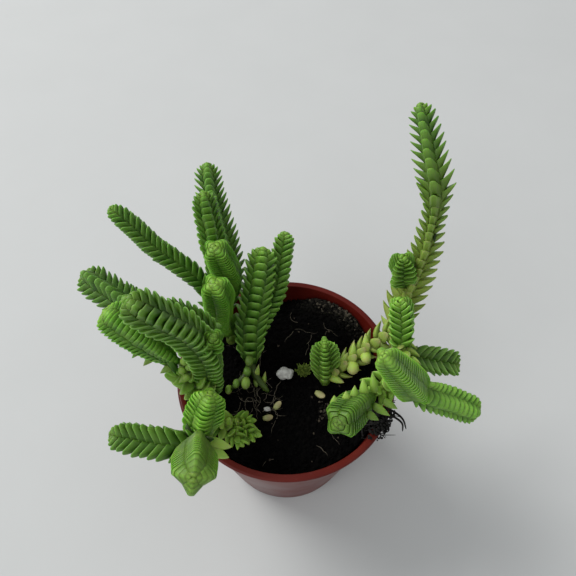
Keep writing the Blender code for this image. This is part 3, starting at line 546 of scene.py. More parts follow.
def tight_leaf(reach, scale, pitch):
    """A leaf of the square column: rows of out, across and along, with tip and margin values."""
    blunt = min(scale.blunt, 0.5 * reach)
    bulge = scale.bulge * blunt
    shoulder = reach - bulge
    groove = 0.5 * scale.groove * (shoulder + blunt)
    rise = scale.lean * reach
    drop = min(scale.drop * pitch, 0.9 * rise)
    # The plan gives each profile its way out and across, its share of the drop, and of the keel
    plan = []
    for share in FAN_TIP:
        turn = 0.5 * math.pi * share
        plan.append((shoulder + bulge * math.cos(turn), blunt * math.sin(turn),
                     scale.arch * share ** 1.6, 1 - 0.25 * share))
    out, across, fall, keel = plan[-1]
    for share in FAN_SIDE:
        plan.append((out + (groove - out) * share, across + (groove * 1.05 - across) * share,
                     fall + (1 - fall) * share, 0.75 * (1 - share) ** scale.ease))
    plan = np.array([(x, -y, fall, keel) for x, y, fall, keel in reversed(plan[1:])] + plan)
    spot = plan[:, :2]
    length = np.linalg.norm(spot, axis=1)
    top = rise - drop * plan[:, 2]
    keel = plan[:, 3]
    recede = scale.step + (scale.tooth - scale.step) * keel
    inner = min(0.6 * scale.core, 0.4 * reach) / length
    nose = scale.nose * (0.3 + 0.7 * keel)
    rows = [(inner + (1 - inner) * way, top * way ** 1.2) for way in UPPER_WAY]
    brow = top * (1 - nose / length) ** 1.2
    rows += [(1 - nose * back / length, brow - nose * down) for back, down in NOSE_WAY]
    # The back reaches the leaf below where that leaf's upper side meets it
    depth = pitch + scale.fill * recede * 1.2 * top / length - nose
    for way in BACK_WAY:
        shrunk = 1 - recede * (way / BACK_MEETS) ** scale.bend / length
        rows.append((np.maximum(shrunk, inner), brow - nose - depth * way))
    rows.append((inner, brow - 1.6 * depth))
    factor, height = (np.array(column).T for column in zip(*rows))
    points = np.stack([factor * spot[:, 0, None], factor * spot[:, 1, None], height], -1)
    # Tip values fall towards the grooves, where the leaf colour paints shade
    tips = (0.35 + 0.65 * keel[:, None]) * PROFILE_TIP[None]
    edges = np.broadcast_to(PROFILE_EDGE[None], tips.shape)
    return points.reshape(-1, 3), tips.reshape(-1), edges.reshape(-1)


def aged(shoot, share):
    return shoot.age[0] + (shoot.age[1] - shoot.age[0]) * share


def pair_angles(step):
    """Leaves stand in pairs, each pair across the one before."""
    return [(side + step % 2) * 0.5 * math.pi for side in (0, 2)]


def grow_tight(skin, shoot, draw):
    """Crossed pairs of tight leaves on a thin core, wrapped over a dome at the shoot's end."""
    form = FORMS[shoot.form]
    axis = Axis(shoot.points, shoot.roll)
    level = axis.length + TIP_PAST - form.closing
    bend = DOME_TURN * form.closing
    last = level + bend
    # How far the nearest rank is off the line of sight, which flattens ranks in front and behind
    off = math.radians(abs((shoot.roll + 45) % 90 - 45))
    press = 1 - (1 - form.press) * abs(math.cos(2 * off))

    def dome(run, perk=0.0):
        """Where a run along the straight column comes to lie, and how far its ring shrinks."""
        turn = np.clip((run - level) / form.closing, 0, DOME_TURN)
        past = np.maximum(0, run - level - bend)
        ring = np.cos(np.clip((run - perk - level) / form.closing, 0, DOME_TURN))
        return np.minimum(run, level) + form.closing * np.sin(turn) + 0.1 * past, ring

    root = 0.0
    step = 0
    while True:
        share = root / last
        scale = between(form.start, form.end, share)
        at, _ = dome(root)
        full = 0.5 * axis.width(min(at + 2 * MM, axis.length))
        if root + 0.85 * scale.lean * full > last:
            break
        grown = START_SHARE + (1 - START_SHARE) * (root + scale.lean * full) / BUD_LENGTH
        reach = full * min(1.0, grown)
        # A blunt tip seen askew is wider than a point, so it reaches less far
        bulge = scale.bulge * scale.blunt
        reach -= min(math.hypot(bulge, scale.blunt * math.tan(off)) - bulge, 0.2 * reach)
        loose = min(1.0, scale.tooth / TIGHT.tooth)
        bud = min(1.0, max(0.0, (root + scale.lean * reach - level) / bend))
        # Leaves dwindle towards the bud
        dwindle = 1 - 0.5 * bud
        front = 1 if step % 2 else press
        pitch = (form.pitch[0] + (form.pitch[1] - form.pitch[0]) * share) * dwindle
        scale = scale._replace(
            tooth=scale.tooth * (1 - (0.8 - form.perk) * bud) * front,
            step=scale.step * (1 - 0.7 * bud),
            nose=scale.nose * dwindle * (0.4 + 0.6 * front),
            blunt=scale.blunt * dwindle)
        for angle in pair_angles(step):
            angle += loose ** 2 * draw.uniform(-0.05, 0.05)
            place, tangent, out, across = axis.frame(float(at), angle)
            size = 1 + loose ** 2 * draw.uniform(-0.04, 0.03)
            points, tips, edges = tight_leaf(reach * size, scale,
                                             pitch * (1 + loose * draw.uniform(-0.08, 0.07)))
            perk = form.perk * (1 - bud ** 2) * np.maximum(points[:, 2], 0)
            run, ring = dome(root + points[:, 2], perk)
            body = (place + (points[:, 0] * ring)[:, None] * out
                    + (points[:, 1] * ring)[:, None] * across + (run - at)[:, None] * tangent)
            skin.add(body, FAN_FACES, tip=tips, edge=edges * form.margin, age=aged(shoot, share),
                     chance=draw.random(), bud=bud ** 1.5, light=shoot.light)
        root += 0.5 * pitch
        step += 1
    add_core(skin, axis, form.start.core, shoot, level + 0.86 * form.closing)
    # The bud: two small leaves face to face
    place, tangent, out, across = axis.frame(level + form.closing - 0.4 * MM, 0.0)
    points, faces = ball(1)
    wide = 0.13 * axis.width(axis.length)
    for side in (-1, 1):
        body = (place + 0.55 * MM * points[:, 2:] * tangent + wide * points[:, 1:2] * across
                + wide * (0.62 * points[:, :1] + 0.5 * side) * out)
        skin.add(body, faces, tip=0.8, age=shoot.age[1], chance=0.5, bud=1.0, light=shoot.light)


def grow_loose(skin, shoot, draw):
    """Crossed pairs of leaves that stand apart, on a stem."""
    growth = LOOSE[shoot.form]
    axis = Axis(shoot.points, shoot.roll)
    length = axis.length
    pitch = growth.pitch
    rise = growth.rise * pitch
    root = 0.0
    step = 0
    while root < length - 0.2 * MM:
        share = root / length
        left = min(1.0, max(0.0, length + 0.4 * MM - root - 0.8 * rise) / BUD_LENGTH)
        bud = math.sin(0.5 * math.pi * left)
        start = min(1.0, START_SHARE + (1 - START_SHARE) * (root + rise) / BUD_LENGTH)
        full = 0.5 * axis.width(min(root + rise, length))
        reach = full * start * (BUD_SHARE + (1 - BUD_SHARE) * bud)
        for angle in pair_angles(step):
            place, tangent, out, across = axis.frame(root, angle + draw.uniform(-0.16, 0.16))
            lift = rise * draw.uniform(0.88, 1.12) + draw.uniform(-0.2, 0.3) * pitch
            points, tips, edges = free_leaf(place, tangent, out, across,
                                            reach * draw.uniform(0.88, 1.06), lift, growth, pitch)
            skin.add(points, LEAF_FACES, tip=tips, edge=edges * 0.6, age=aged(shoot, share),
                     chance=draw.random(), bud=1 - bud, light=shoot.light)
        root += 0.5 * pitch
        step += 1
    add_core(skin, axis, growth.core, shoot, length)


def add_single(skin, leaf, draw):
    """One leaf from its root to its tip, its broad side up and forward."""
    root = np.array(leaf.root) * MM
    path = np.array(leaf.tip) * MM - root
    length = np.linalg.norm(path)
    along = path / length
    up = unit(square_to(np.array([0.0, -0.56, 0.83]), along))
    across = np.cross(up, along)
    t = SINGLE_RINGS
    bead = np.sqrt(np.clip(1 - np.abs(2 * t - 1) ** 2.4, 0.03, 1))
    pointed = 0.7 + 0.3 * np.sin(0.5 * math.pi * np.clip(t / 0.35, 0, 1))
    pointed = pointed * (1 - np.clip((t - 0.25) / 0.75, 0, 1) ** 1.7)
    swell = bead + (pointed - bead) * leaf.point
    bow = 0.07 * length * leaf.point * np.sin(math.pi * t)
    rows = (root + (length * t)[:, None] * along + bow[:, None] * up)[:, None]
    for size, turns, way in ((leaf.wide, RING_COS, across), (leaf.thick, RING_SIN, up)):
        rows = rows + (0.5 * size * MM * swell)[:, None, None] * turns[None, :, None] * way
    tips = np.concatenate([np.repeat(0.25 + 0.75 * t, RING_SIDES), [1.0]])
    edges = np.concatenate([np.tile(0.7 * np.abs(RING_COS) ** 3, len(t)), [0.4]])
    points = np.concatenate([rows.reshape(-1, 3), (root + path)[None]])
    skin.add(points, SINGLE_FACES, tip=tips, edge=edges, age=leaf.age, chance=draw.random(),
             light=leaf.light)


def add_core(skin, axis, core, shoot, length):
    """The stem under the leaves, a tube that thins towards the bud."""
    count = max(3, round(length / (1.2 * MM)))
    sides = 10
    rows = []
    shares = []
    for i in range(count + 1):
        share = i / count
        place, _, out, across = axis.frame(length * share, 0.0)
        radius = core * (1 - 0.62 * share ** 3) * (1 + 0.06 * math.sin(9 * i))
        rows += circle(place, radius, out, across, sides)
        shares += [share] * sides
    rows.append(axis.frame(length + 0.3 * MM, 0.0)[0])
    shares = np.array([*shares, 1.0])
    skin.add(np.array(rows), ring_faces(count + 1, sides), tip=0.6 * shares ** 6,
             age=aged(shoot, shares), chance=0.5, bud=shares ** 8, light=shoot.light)


def new_object(name, data):
    thing = bpy.data.objects.new(name, data)
    bpy.context.scene.collection.objects.link(thing)
    return thing


def add_object(name, mesh, material):
    mesh.materials.clear()
    mesh.materials.append(material)
    piece = new_object(name, mesh)
    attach(piece, "root")
    return piece


# Materials

# The colour sockets of a Mix node, which share their names with its others
MIX_A = 6
MIX_B = 7
MIX_RESULT = 2


class Shading:
    """A Principled material and short calls for its nodes."""

    def __init__(self, name, roughness, specular):
        self.material = bpy.data.materials.new(name)
        self.material.use_nodes = True
        self.tree = self.material.node_tree
        self.shader = self.tree.nodes["Principled BSDF"]
        self.feed(self.shader, {"Roughness": roughness, "Specular IOR Level": specular})

    def feed(self, node, inputs):
        """Sets a node's sockets, or links them where the value is a socket."""
        for key, value in inputs.items():
            if isinstance(value, bpy.types.NodeSocket):
                self.tree.links.new(value, node.inputs[key])
            else:
                node.inputs[key].default_value = value
        return node

    def node(self, kind, **inputs):
        inputs = {key.replace("_", " "): value for key, value in inputs.items()}
        return self.feed(self.tree.nodes.new(kind), inputs)

    def value(self, name):
        node = self.node("ShaderNodeAttribute")
        node.attribute_name = f"leaf_{name}"
        return node.outputs["Fac"]

    def noise(self, scale, detail=3.0, roughness=0.55):
        place = self.node("ShaderNodeTexCoord").outputs["Object"]
        return self.node("ShaderNodeTexNoise", Vector=place, Scale=scale, Detail=detail,
                         Roughness=roughness).outputs["Fac"]

    def math(self, operation, a, b):
        node = self.feed(self.tree.nodes.new("ShaderNodeMath"), {0: a, 1: b})
        node.operation = operation
        node.use_clamp = True
        return node.outputs[0]

    def span(self, value, low, high, to_low=0.0, to_high=1.0):
        node = self.node("ShaderNodeMapRange", Value=value, From_Min=low, From_Max=high,
                         To_Min=to_low, To_Max=to_high)
        node.interpolation_type = "SMOOTHSTEP"
        return node.outputs["Result"]

    def mix(self, factor, *colours):
        a, b = (colour if isinstance(colour, bpy.types.NodeSocket) else (*colour, 1.0)
                for colour in colours)
        node = self.tree.nodes.new("ShaderNodeMix")
        node.data_type = "RGBA"
        return self.feed(node, {0: factor, MIX_A: a, MIX_B: b}).outputs[MIX_RESULT]

    def lay(self, colour, value, low, high, share, tone):
        """Lays a share of a tone over a colour, where a value is high."""
        return self.mix(self.math("MULTIPLY", self.span(value, low, high), share), colour, tone)

    def finish(self, colour, height, bump, distance):
        normal = self.node("ShaderNodeBump", Strength=bump, Distance=distance, Height=height)
        self.feed(self.shader, {"Base Color": colour, "Normal": normal.outputs["Normal"]})
        return self.material


def leaf_material(name, flat_green_and_shade, tip_green_and_highlight):
    """Fleshy leaf skin: deep green in the flats, darker as painted shade on the backs and in the
    grooves, paler at margins and tips, the tips partly as a painted highlight, yellow where old.
    """
    s = Shading(name, 0.47, 0.27)
    tip = s.value("tip")
    # Low tip values lie on the leaves' backs, in the grooves and near the stem, so the deep green
    # there is painted shade; the tip green is partly the tips' own paler tone and partly a painted
    # highlight
    colour = s.mix(s.span(tip, 0.0, 0.8), flat_green_and_shade, tip_green_and_highlight)
    colour = s.mix(s.span(s.noise(260.0), 0.35, 0.75, 0.0, 0.30), colour, (0.085, 0.22, 0.016))
    colour = s.lay(colour, s.value("chance"), 0.2, 1.0, 0.22, (0.24, 0.42, 0.06))
    colour = s.lay(colour, s.value("bud"), 0.1, 0.9, 0.32, (0.26, 0.47, 0.05))
    colour = s.lay(colour, s.value("edge"), 0.4, 1.0, 0.42, (0.38, 0.58, 0.19))
    old = s.mix(s.span(tip, 0.72, 1.0, 0.0, 0.75), (0.42, 0.52, 0.11), (0.47, 0.35, 0.19))
    colour = s.lay(colour, s.value("age"), 0.3, 1.0, 0.85, old)
    # The light value gives lit and shaded copies of the stem's green: painted light and shade,
    # partly the shoot's own tone
    lit = s.node("ShaderNodeHueSaturation", Color=colour, Value=s.value("light"))
    s.feed(s.shader, {"Subsurface Weight": 0.45, "Subsurface Radius": (0.5, 1.0, 0.15),
                      "Subsurface Scale": 1.1 * MM})
    return s.finish(lit.outputs["Color"], s.noise(5200.0, 2.0), 0.18, 0.05 * MM)


def pot_material():
    """Thin moulded plastic: red-brown, slightly scuffed, and glossier in patches."""
    s = Shading("moulded_plastic", 0.36, 0.28)
    broad = s.noise(45.0, 4.0)
    fine = s.noise(1500.0, 3.0)
    colour = s.mix(s.span(broad, 0.3, 0.7), (0.090, 0.0065, 0.004), (0.128, 0.014, 0.009))
    colour = s.mix(s.span(fine, 0.62, 0.8, 0.0, 0.25), colour, (0.24, 0.10, 0.08))
    s.feed(s.shader, {"IOR": 1.38, "Roughness": s.span(broad, 0.3, 0.75, 0.28, 0.44)})
    return s.finish(colour, fine, 0.10, 0.08 * MM)


def soil_material():
    """Black peat, with browner crumbs where the soil is banked up and dry, and pale specks."""
    s = Shading("peat", 1.0, 0.08)
    brown = s.value("age")
    draw = s.value("chance")
    speck = s.noise(900.0, 5.0, 0.7)
    colour = s.mix(s.span(speck, 0.4, 0.72), (0.0009, 0.0008, 0.0009), (0.0040, 0.0035, 0.0032))
    colour = s.mix(brown, colour, (0.018, 0.016, 0.013))
    dry = s.math("GREATER_THAN", draw, 0.62)
    colour = s.lay(colour, brown, 0.25, 0.8, dry, (0.088, 0.074, 0.056))
    pale = s.math("MULTIPLY", s.math("GREATER_THAN", draw, 0.97), 0.5)
    colour = s.mix(pale, colour, (0.15, 0.12, 0.09))
    return s.finish(colour, s.noise(2600.0, 4.0, 0.7), 0.7, 0.25 * MM)


def plain_material(name, low, high, scale, roughness, bump, distance):
    """Two tones mixed by noise, with the same noise as bump."""
    s = Shading(name, roughness, 0.35)
    pattern = s.noise(scale, 5.0, 0.65)
    return s.finish(s.mix(s.span(pattern, 0.3, 0.7), low, high), pattern, bump, distance)


# Pot


def wall_radius(height):
    top = RIM_RADIUS - LIP_WIDTH + WALL / 2
    return BASE_RADIUS + (top - BASE_RADIUS) * height / POT_HEIGHT


def turned(name, profile, sides):
    """A solid turned about the Z axis from (radius, height) points, flat at both ends."""
    rows = [(*polar(radius, FULL_TURN * k / sides), height)
            for radius, height in profile for k in range(sides)]
    last = (len(profile) - 1) * sides
    ends = [tuple(reversed(range(sides))), tuple(range(last, last + sides))]
    mesh = bpy.data.meshes.new(name)
    mesh.from_pydata(rows, [], ends + wall_faces(len(profile), sides))
    work = bmesh.new()
    work.from_mesh(mesh)
    bmesh.ops.recalc_face_normals(work, faces=work.faces)
    work.to_mesh(mesh)
    work.free()
    return mesh


def pot_profile():
    """The wall from its foot up the outside, over the lip and down the inside to the floor."""
    lip_low = POT_HEIGHT - LIP_HEIGHT
    inner_rim = wall_radius(POT_HEIGHT) - WALL
    foot_radius = wall_radius(0)
    profile = [(foot_radius - FOOT_BEVEL, 0.0)]
    bevel_steps = 4
    for k in range(1, bevel_steps + 1):
        turn = 0.5 * math.pi * k / bevel_steps
        profile.append((foot_radius - FOOT_BEVEL * (1 - math.sin(turn)),
                        FOOT_BEVEL * (1 - math.cos(turn))))
    for share in (0.1, 0.25, 0.5, 0.75, 0.97, 1):
        profile.append((wall_radius(share * lip_low), share * lip_low))
    round_half = 0.5 * LIP_HEIGHT
    lip_steps = 8
    for k in range(lip_steps + 1):
        turn = math.pi * (k / lip_steps - 0.5)
        profile.append((RIM_RADIUS - round_half + round_half * math.cos(turn),
                        POT_HEIGHT - round_half * (1 - math.sin(turn))))
    profile += [(inner_rim + 0.15 * MM, POT_HEIGHT - 0.05 * MM), (inner_rim, POT_HEIGHT - 0.3 * MM)]
    for share in (0.9, 0.6, 0.3):
        profile.append((wall_radius(share * lip_low) - WALL, share * lip_low))
    return profile + [(wall_radius(FLOOR + FOOT_BEVEL) - WALL, FLOOR + FOOT_BEVEL),
                      (wall_radius(FLOOR) - WALL - FOOT_BEVEL, FLOOR)]


def make_pot():
    pot = new_object("nursery_pot", turned("nursery_pot", pot_profile(), POT_SIDES))
    plugs = bpy.data.collections.new("plugs")
    bpy.context.scene.collection.children.link(plugs)
    for k in range(DRAIN_HOLES):
        mesh = turned("plug", [(DRAIN_RADIUS, -FLOOR), (DRAIN_RADIUS, 2 * FLOOR)], DRAIN_SIDES)
        plug = bpy.data.objects.new("plug", mesh)
        plug.location = (*polar(DRAIN_RING, FULL_TURN * (k + 0.5) / DRAIN_HOLES), 0)
        plugs.objects.link(plug)
    cut = pot.modifiers.new("drain", "BOOLEAN")
    cut.operation = "DIFFERENCE"
    cut.operand_type = "COLLECTION"
    cut.collection = plugs
    cut.solver = "EXACT"
    graph = bpy.context.evaluated_depsgraph_get()
    mesh = bpy.data.meshes.new_from_object(pot.evaluated_get(graph))
    for helper in [*plugs.objects, pot]:
        bpy.data.objects.remove(helper, do_unlink=True)
    bpy.data.collections.remove(plugs)
    mesh.shade_smooth()
    mesh.set_sharp_from_angle(angle=math.radians(38))
    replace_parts(add_object("nursery_pot", mesh, pot_material()), "pot")


# Soil and what lies in it


def on_bank(x, y):
    """How brown and banked up the soil is: a crescent along the wall at the back right."""
    turn = math.degrees(math.atan2(y, x))
    along = max(0.0, 1 - abs(turn - BANK_TURN) / BANK_SPREAD)
    across = min(1.0, max(0.0, (math.hypot(x, y) / MM - BANK_START) / BANK_SLOPE))
    return min(1.0, 1.7 * along) * across * across * (3 - 2 * across)


def soil_height(x, y):
    away = math.hypot(x - MOUND_CENTRE[0], y - MOUND_CENTRE[1]) / MOUND_REACH
    return SOIL_TOP + MOUND_HEIGHT * math.exp(-away * away) + BANK_HEIGHT * on_bank(x, y)


def on_soil(x, y, lift):
    return np.array([x, y, soil_height(x, y) + lift])


def turned_draw(draw):
    """A seeded rotation matrix."""
    x, y, z = unit(np.array([draw.gauss(0, 1) for _ in range(3)]))
    turn = draw.uniform(0, FULL_TURN)
    cross = np.array([[0, -z, y], [z, 0, -x], [-y, x, 0]])
    return np.eye(3) + math.sin(turn) * cross + (1 - math.cos(turn)) * cross @ cross


def add_crumb(skin, shape, place, size, flat, draw, **values):
    points, faces = shape
    bumps = np.array([draw.uniform(0.72, 1.22) for _ in points])
    body = points * bumps[:, None] * np.array([1.0, draw.uniform(0.6, 1.0), flat]) * size
    skin.add(body @ turned_draw(draw).T + place, faces, **values)


def add_fibre(skin, points, radius, sides, **values):
    """A thin root: a tube through a few points, pinched at its ends."""
    line = smooth_route([(*p, 0) for p in points], 6)[0][:, :3]
    tangents, beside = untwisted(line, (0.3, 0.5, 0.8))
    rows = []
    for i, (place, tangent, side) in enumerate(zip(line, tangents, beside)):
        way = min(1.0, 0.12 + 0.88 * (i / (len(line) - 1)))
        thin = radius * (0.35 + 0.65 * math.sin(math.pi * way ** 0.8) ** 0.5)
        rows += circle(place, thin, side, np.cross(tangent, side), sides)
    rows.append(line[-1])
    skin.add(np.array(rows), ring_faces(len(line), sides), **values)


def wander(draw, start, heading, step, count, sway, climb):
    """Points of a fibre that lies on the soil, in millimetres."""
    x, y = start
    points = []
    for _ in range(count):
        level = soil_height(x * MM, y * MM) / MM
        points.append((x, y, level + draw.uniform(*climb)))
        heading += draw.uniform(-sway, sway)
        x += step * math.cos(heading)
        y += step * math.sin(heading)
        reach = math.hypot(x, y)
        if reach > FIBRE_REACH:
            x *= FIBRE_REACH / reach
            y *= FIBRE_REACH / reach
    return points


def add_soil_body(skin, edge, draw):
    """The soil itself: a few rings up the wall, and then its rough top in to the middle."""
    low = FLOOR + SOIL_GAP
    foot_radius = wall_radius(low + FOOT_BEVEL) - WALL - FOOT_BEVEL - SOIL_GAP
    above = low + 2 * FOOT_BEVEL
    rings = [(foot_radius, low), (wall_radius(above) - WALL - 0.39 * MM, above),
             (edge - 0.15 * MM, SOIL_TOP - 0.8 * MM)]
    rings += [((edge - 0.35 * MM) * (1 - step / SOIL_RINGS), None) for step in range(SOIL_RINGS)]
    rows = []
    browns = []
    for number, (radius, height) in enumerate(rings):
        for k in range(SOIL_SIDES):
            x, y = polar(radius, FULL_TURN * (k + 0.5 * (number % 2)) / SOIL_SIDES)
            brown = on_bank(x, y)
            level = height
            if height is None:
                level = soil_height(x, y) + draw.uniform(-0.35, 0.25) * MM
                x *= 1 + 0.03 * brown
                y *= 1 + 0.03 * brown
            rows.append((x, y, level))
            browns.append(0.5 * brown)
    rows.append((0.0, 0.0, soil_height(0, 0)))
    browns.append(0.0)
    skin.add(np.array(rows), ring_faces(len(rings), SOIL_SIDES), age=np.array(browns),
             chance=0.5)


def make_soil():
    draw = random.Random(SEED)
    skin = Skin()
    edge = wall_radius(SOIL_TOP) - WALL - SOIL_GAP
    add_soil_body(skin, edge, draw)
    small, middling = ball(1), ball(2)
    # Crumbs all over
    for _ in range(CRUMBS):
        turn = draw.uniform(0, FULL_TURN)
        x, y = polar((edge - 0.9 * MM) * math.sqrt(draw.random()), turn)
        size = draw.uniform(0.16, 0.5) * MM
        place = on_soil(x, y, draw.uniform(-0.1, 0.25) * MM)
        add_crumb(skin, small, place, size, 0.75, draw,
                  age=0.5 * on_bank(x, y) + 0.04 * draw.random(), chance=draw.random())
    # Browner ones on the bank
    for _ in range(BANK_CRUMBS):
        turn = math.radians(draw.gauss(BANK_TURN, 17))
        x, y = polar(min(draw.gauss(22.9, 1.5) * MM, edge - 0.3 * MM), turn)
        brown = on_bank(x, y)
        size = draw.uniform(0.22, 0.62) * MM
        place = on_soil(x, y, draw.uniform(0.0, 0.7) * brown * MM)
        add_crumb(skin, small, place, size, 0.8, draw, age=brown * draw.uniform(0.2, 1.0),
                  chance=draw.random() * (0.5 + 0.5 * brown))
    # Lumps
    for _ in range(LUMPS):
        turn = draw.uniform(0, FULL_TURN)
        x, y = polar((edge - 1.6 * MM) * math.sqrt(draw.random()), turn)
        size = draw.uniform(0.55, 0.95) * MM
        add_crumb(skin, middling, on_soil(x, y, 0.1 * MM), size, 0.6, draw,
                  age=0.12 * draw.random(), chance=draw.random())
    # Grey-brown fibrous crumbs at the front right
    for _ in range(FRONT_CRUMBS):
        x, y = draw.gauss(9.8, 0.9) * MM, draw.gauss(-8.6, 1.4) * MM
        place = on_soil(x, y, draw.uniform(0, 0.6) * MM)
        add_crumb(skin, small, place, draw.uniform(0.2, 0.5) * MM, 0.7, draw,
                  age=draw.uniform(0.3, 0.9), chance=draw.random() * 0.95)
    mesh = skin.mesh("potting_soil", False)
    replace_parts(add_object("potting_soil", mesh, soil_material()), "soil")
    make_hairs(draw)


def make_hairs(draw):
    """Hair-thin roots: some at the front left of the middle, and some all over the soil."""
    hairs = Skin()
    for _ in range(FRONT_HAIRS):
        start = (draw.gauss(-7.4, 2.4), draw.gauss(-4.6, 2.6))
        path = wander(draw, start, draw.uniform(*HEADINGS), 0.9, draw.randint(4, 8), 0.7,
                      (0.15, 0.9))
        add_fibre(hairs, path, draw.uniform(0.04, 0.075) * MM, 5)
    for _ in range(HAIRS):
        turn = draw.uniform(*HEADINGS)
        start = polar(22 * math.sqrt(draw.random()), turn)
        path = wander(draw, start, draw.uniform(*HEADINGS), 1.1, draw.randint(4, 7), 0.6,
                      (0.1, 0.6))
        add_fibre(hairs, path, draw.uniform(0.04, 0.08) * MM, 5)
    material = plain_material("root_hair", (0.07, 0.055, 0.04), (0.22, 0.19, 0.14), 1500.0, 0.8,
                              0.3, 0.05 * MM)
    add_object("root_hairs", hairs.mesh("root_hairs"), material)


def make_grains():
    material = plain_material("perlite", (0.42, 0.41, 0.39), (0.74, 0.73, 0.70), 900.0, 0.9, 0.8,
                              0.3 * MM)
    for number in (1, 2):
        node = f"white_grain_{number}"
        low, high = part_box(node)
        draw = random.Random(SEED + number)
        points, faces = ball(4)
        waves = [np.array([draw.uniform(-1, 1) for _ in range(3)]) * draw.uniform(2, 7)
                 for _ in range(14)]
        bumps = np.ones(len(points))
        for wave in waves:
            bumps += 0.035 * np.sin(points @ wave + draw.uniform(*HEADINGS))
        body = points * bumps[:, None]
        body /= np.abs(body).max(axis=0)
        skin = Skin()
        skin.add(np.array((low + high) / 2) + body * np.array((high - low) / 2), faces)
        name = f"perlite_{number}"
        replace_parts(add_object(name, skin.mesh(name), material), node)


def make_fallen_leaves():
    s = Shading("fading_leaf", 0.5, 0.4)
    colour = s.mix(s.span(s.value("tip"), 0.1, 0.9), (0.38, 0.40, 0.15), (0.46, 0.40, 0.20))
    colour = s.mix(s.span(s.noise(700.0), 0.5, 0.75, 0.0, 0.5), colour, (0.26, 0.19, 0.08))
    material = s.finish(colour, s.noise(3500.0, 3.0), 0.3, 0.06 * MM)
    growth = Growth(2.0 * MM, 0.9, 0.6, 0.62, 0.3 * MM)
    for number, heading in enumerate((-35, 50, 10), 1):
        node = f"fallen_leaf_{number}"
        low, high = (np.array(v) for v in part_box(node))
        turn = math.radians(heading)
        pointing = unit(np.array([math.cos(turn), math.sin(turn), 0.06]))
        across = np.array([-math.sin(turn), math.cos(turn), 0.0])
        length = np.linalg.norm((high - low)[:2]) * 0.98
        points, tips, edges = free_leaf(np.zeros(3), np.cross(pointing, across), pointing, across,
                                        length, 0.12 * length, growth, growth.pitch)
        body = points - (points.min(0) + points.max(0)) / 2
        size = (high - low) / (body.max(0) - body.min(0))
        body = body * min(1.0, size.min()) + (low + high) / 2
        body[:, 2] += low[2] - body[:, 2].min()
        skin = Skin()
        skin.add(body, LEAF_FACES, tip=tips, edge=edges)
        name = f"dropped_leaf_{number}"
        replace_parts(add_object(name, skin.mesh(name), material), node)


def make_moss():
    low, high = (np.array(v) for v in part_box("moss_sprig"))
    draw = random.Random(SEED + 20)
    skin = Skin()
    middle = (low + high) / 2
    for k in range(MOSS_BLADES):
        turn = k * GOLDEN_TURN
        reach = math.sqrt((k + 0.5) / MOSS_BLADES)
        base = middle + np.array([0.42 * (high[0] - low[0]) * reach * math.cos(turn),
                                  0.42 * (high[1] - low[1]) * reach * math.sin(turn), 0])
        base[2] = low[2]
        lean = np.array([math.cos(turn), math.sin(turn), 0]) * reach * 0.45
        lean += np.array([draw.uniform(-0.3, 0.3), draw.uniform(-0.3, 0.3), 0])
        size = draw.uniform(0.5, 0.95) * (high[2] - low[2]) / MM
        path = []
        for share in (0, 0.4, 0.75, 1.0):
            way = lean * share ** 1.5 + np.array([0, 0, share])
            path.append(tuple((base + way * size * MM * 0.9) / MM))
        add_fibre(skin, path, 0.11 * MM, 5, chance=draw.random())
    s = Shading("moss_leaf", 0.7, 0.3)
    colour = s.mix(s.value("chance"), (0.10, 0.17, 0.02), (0.32, 0.42, 0.08))
    colour = s.mix(s.span(s.noise(1200.0), 0.4, 0.7, 0.0, 0.4), colour, (0.09, 0.15, 0.02))
    material = s.finish(colour, s.noise(4000.0), 0.4, 0.05 * MM)
    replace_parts(add_object("moss_tuft", skin.mesh("moss_tuft"), material), "moss_sprig")


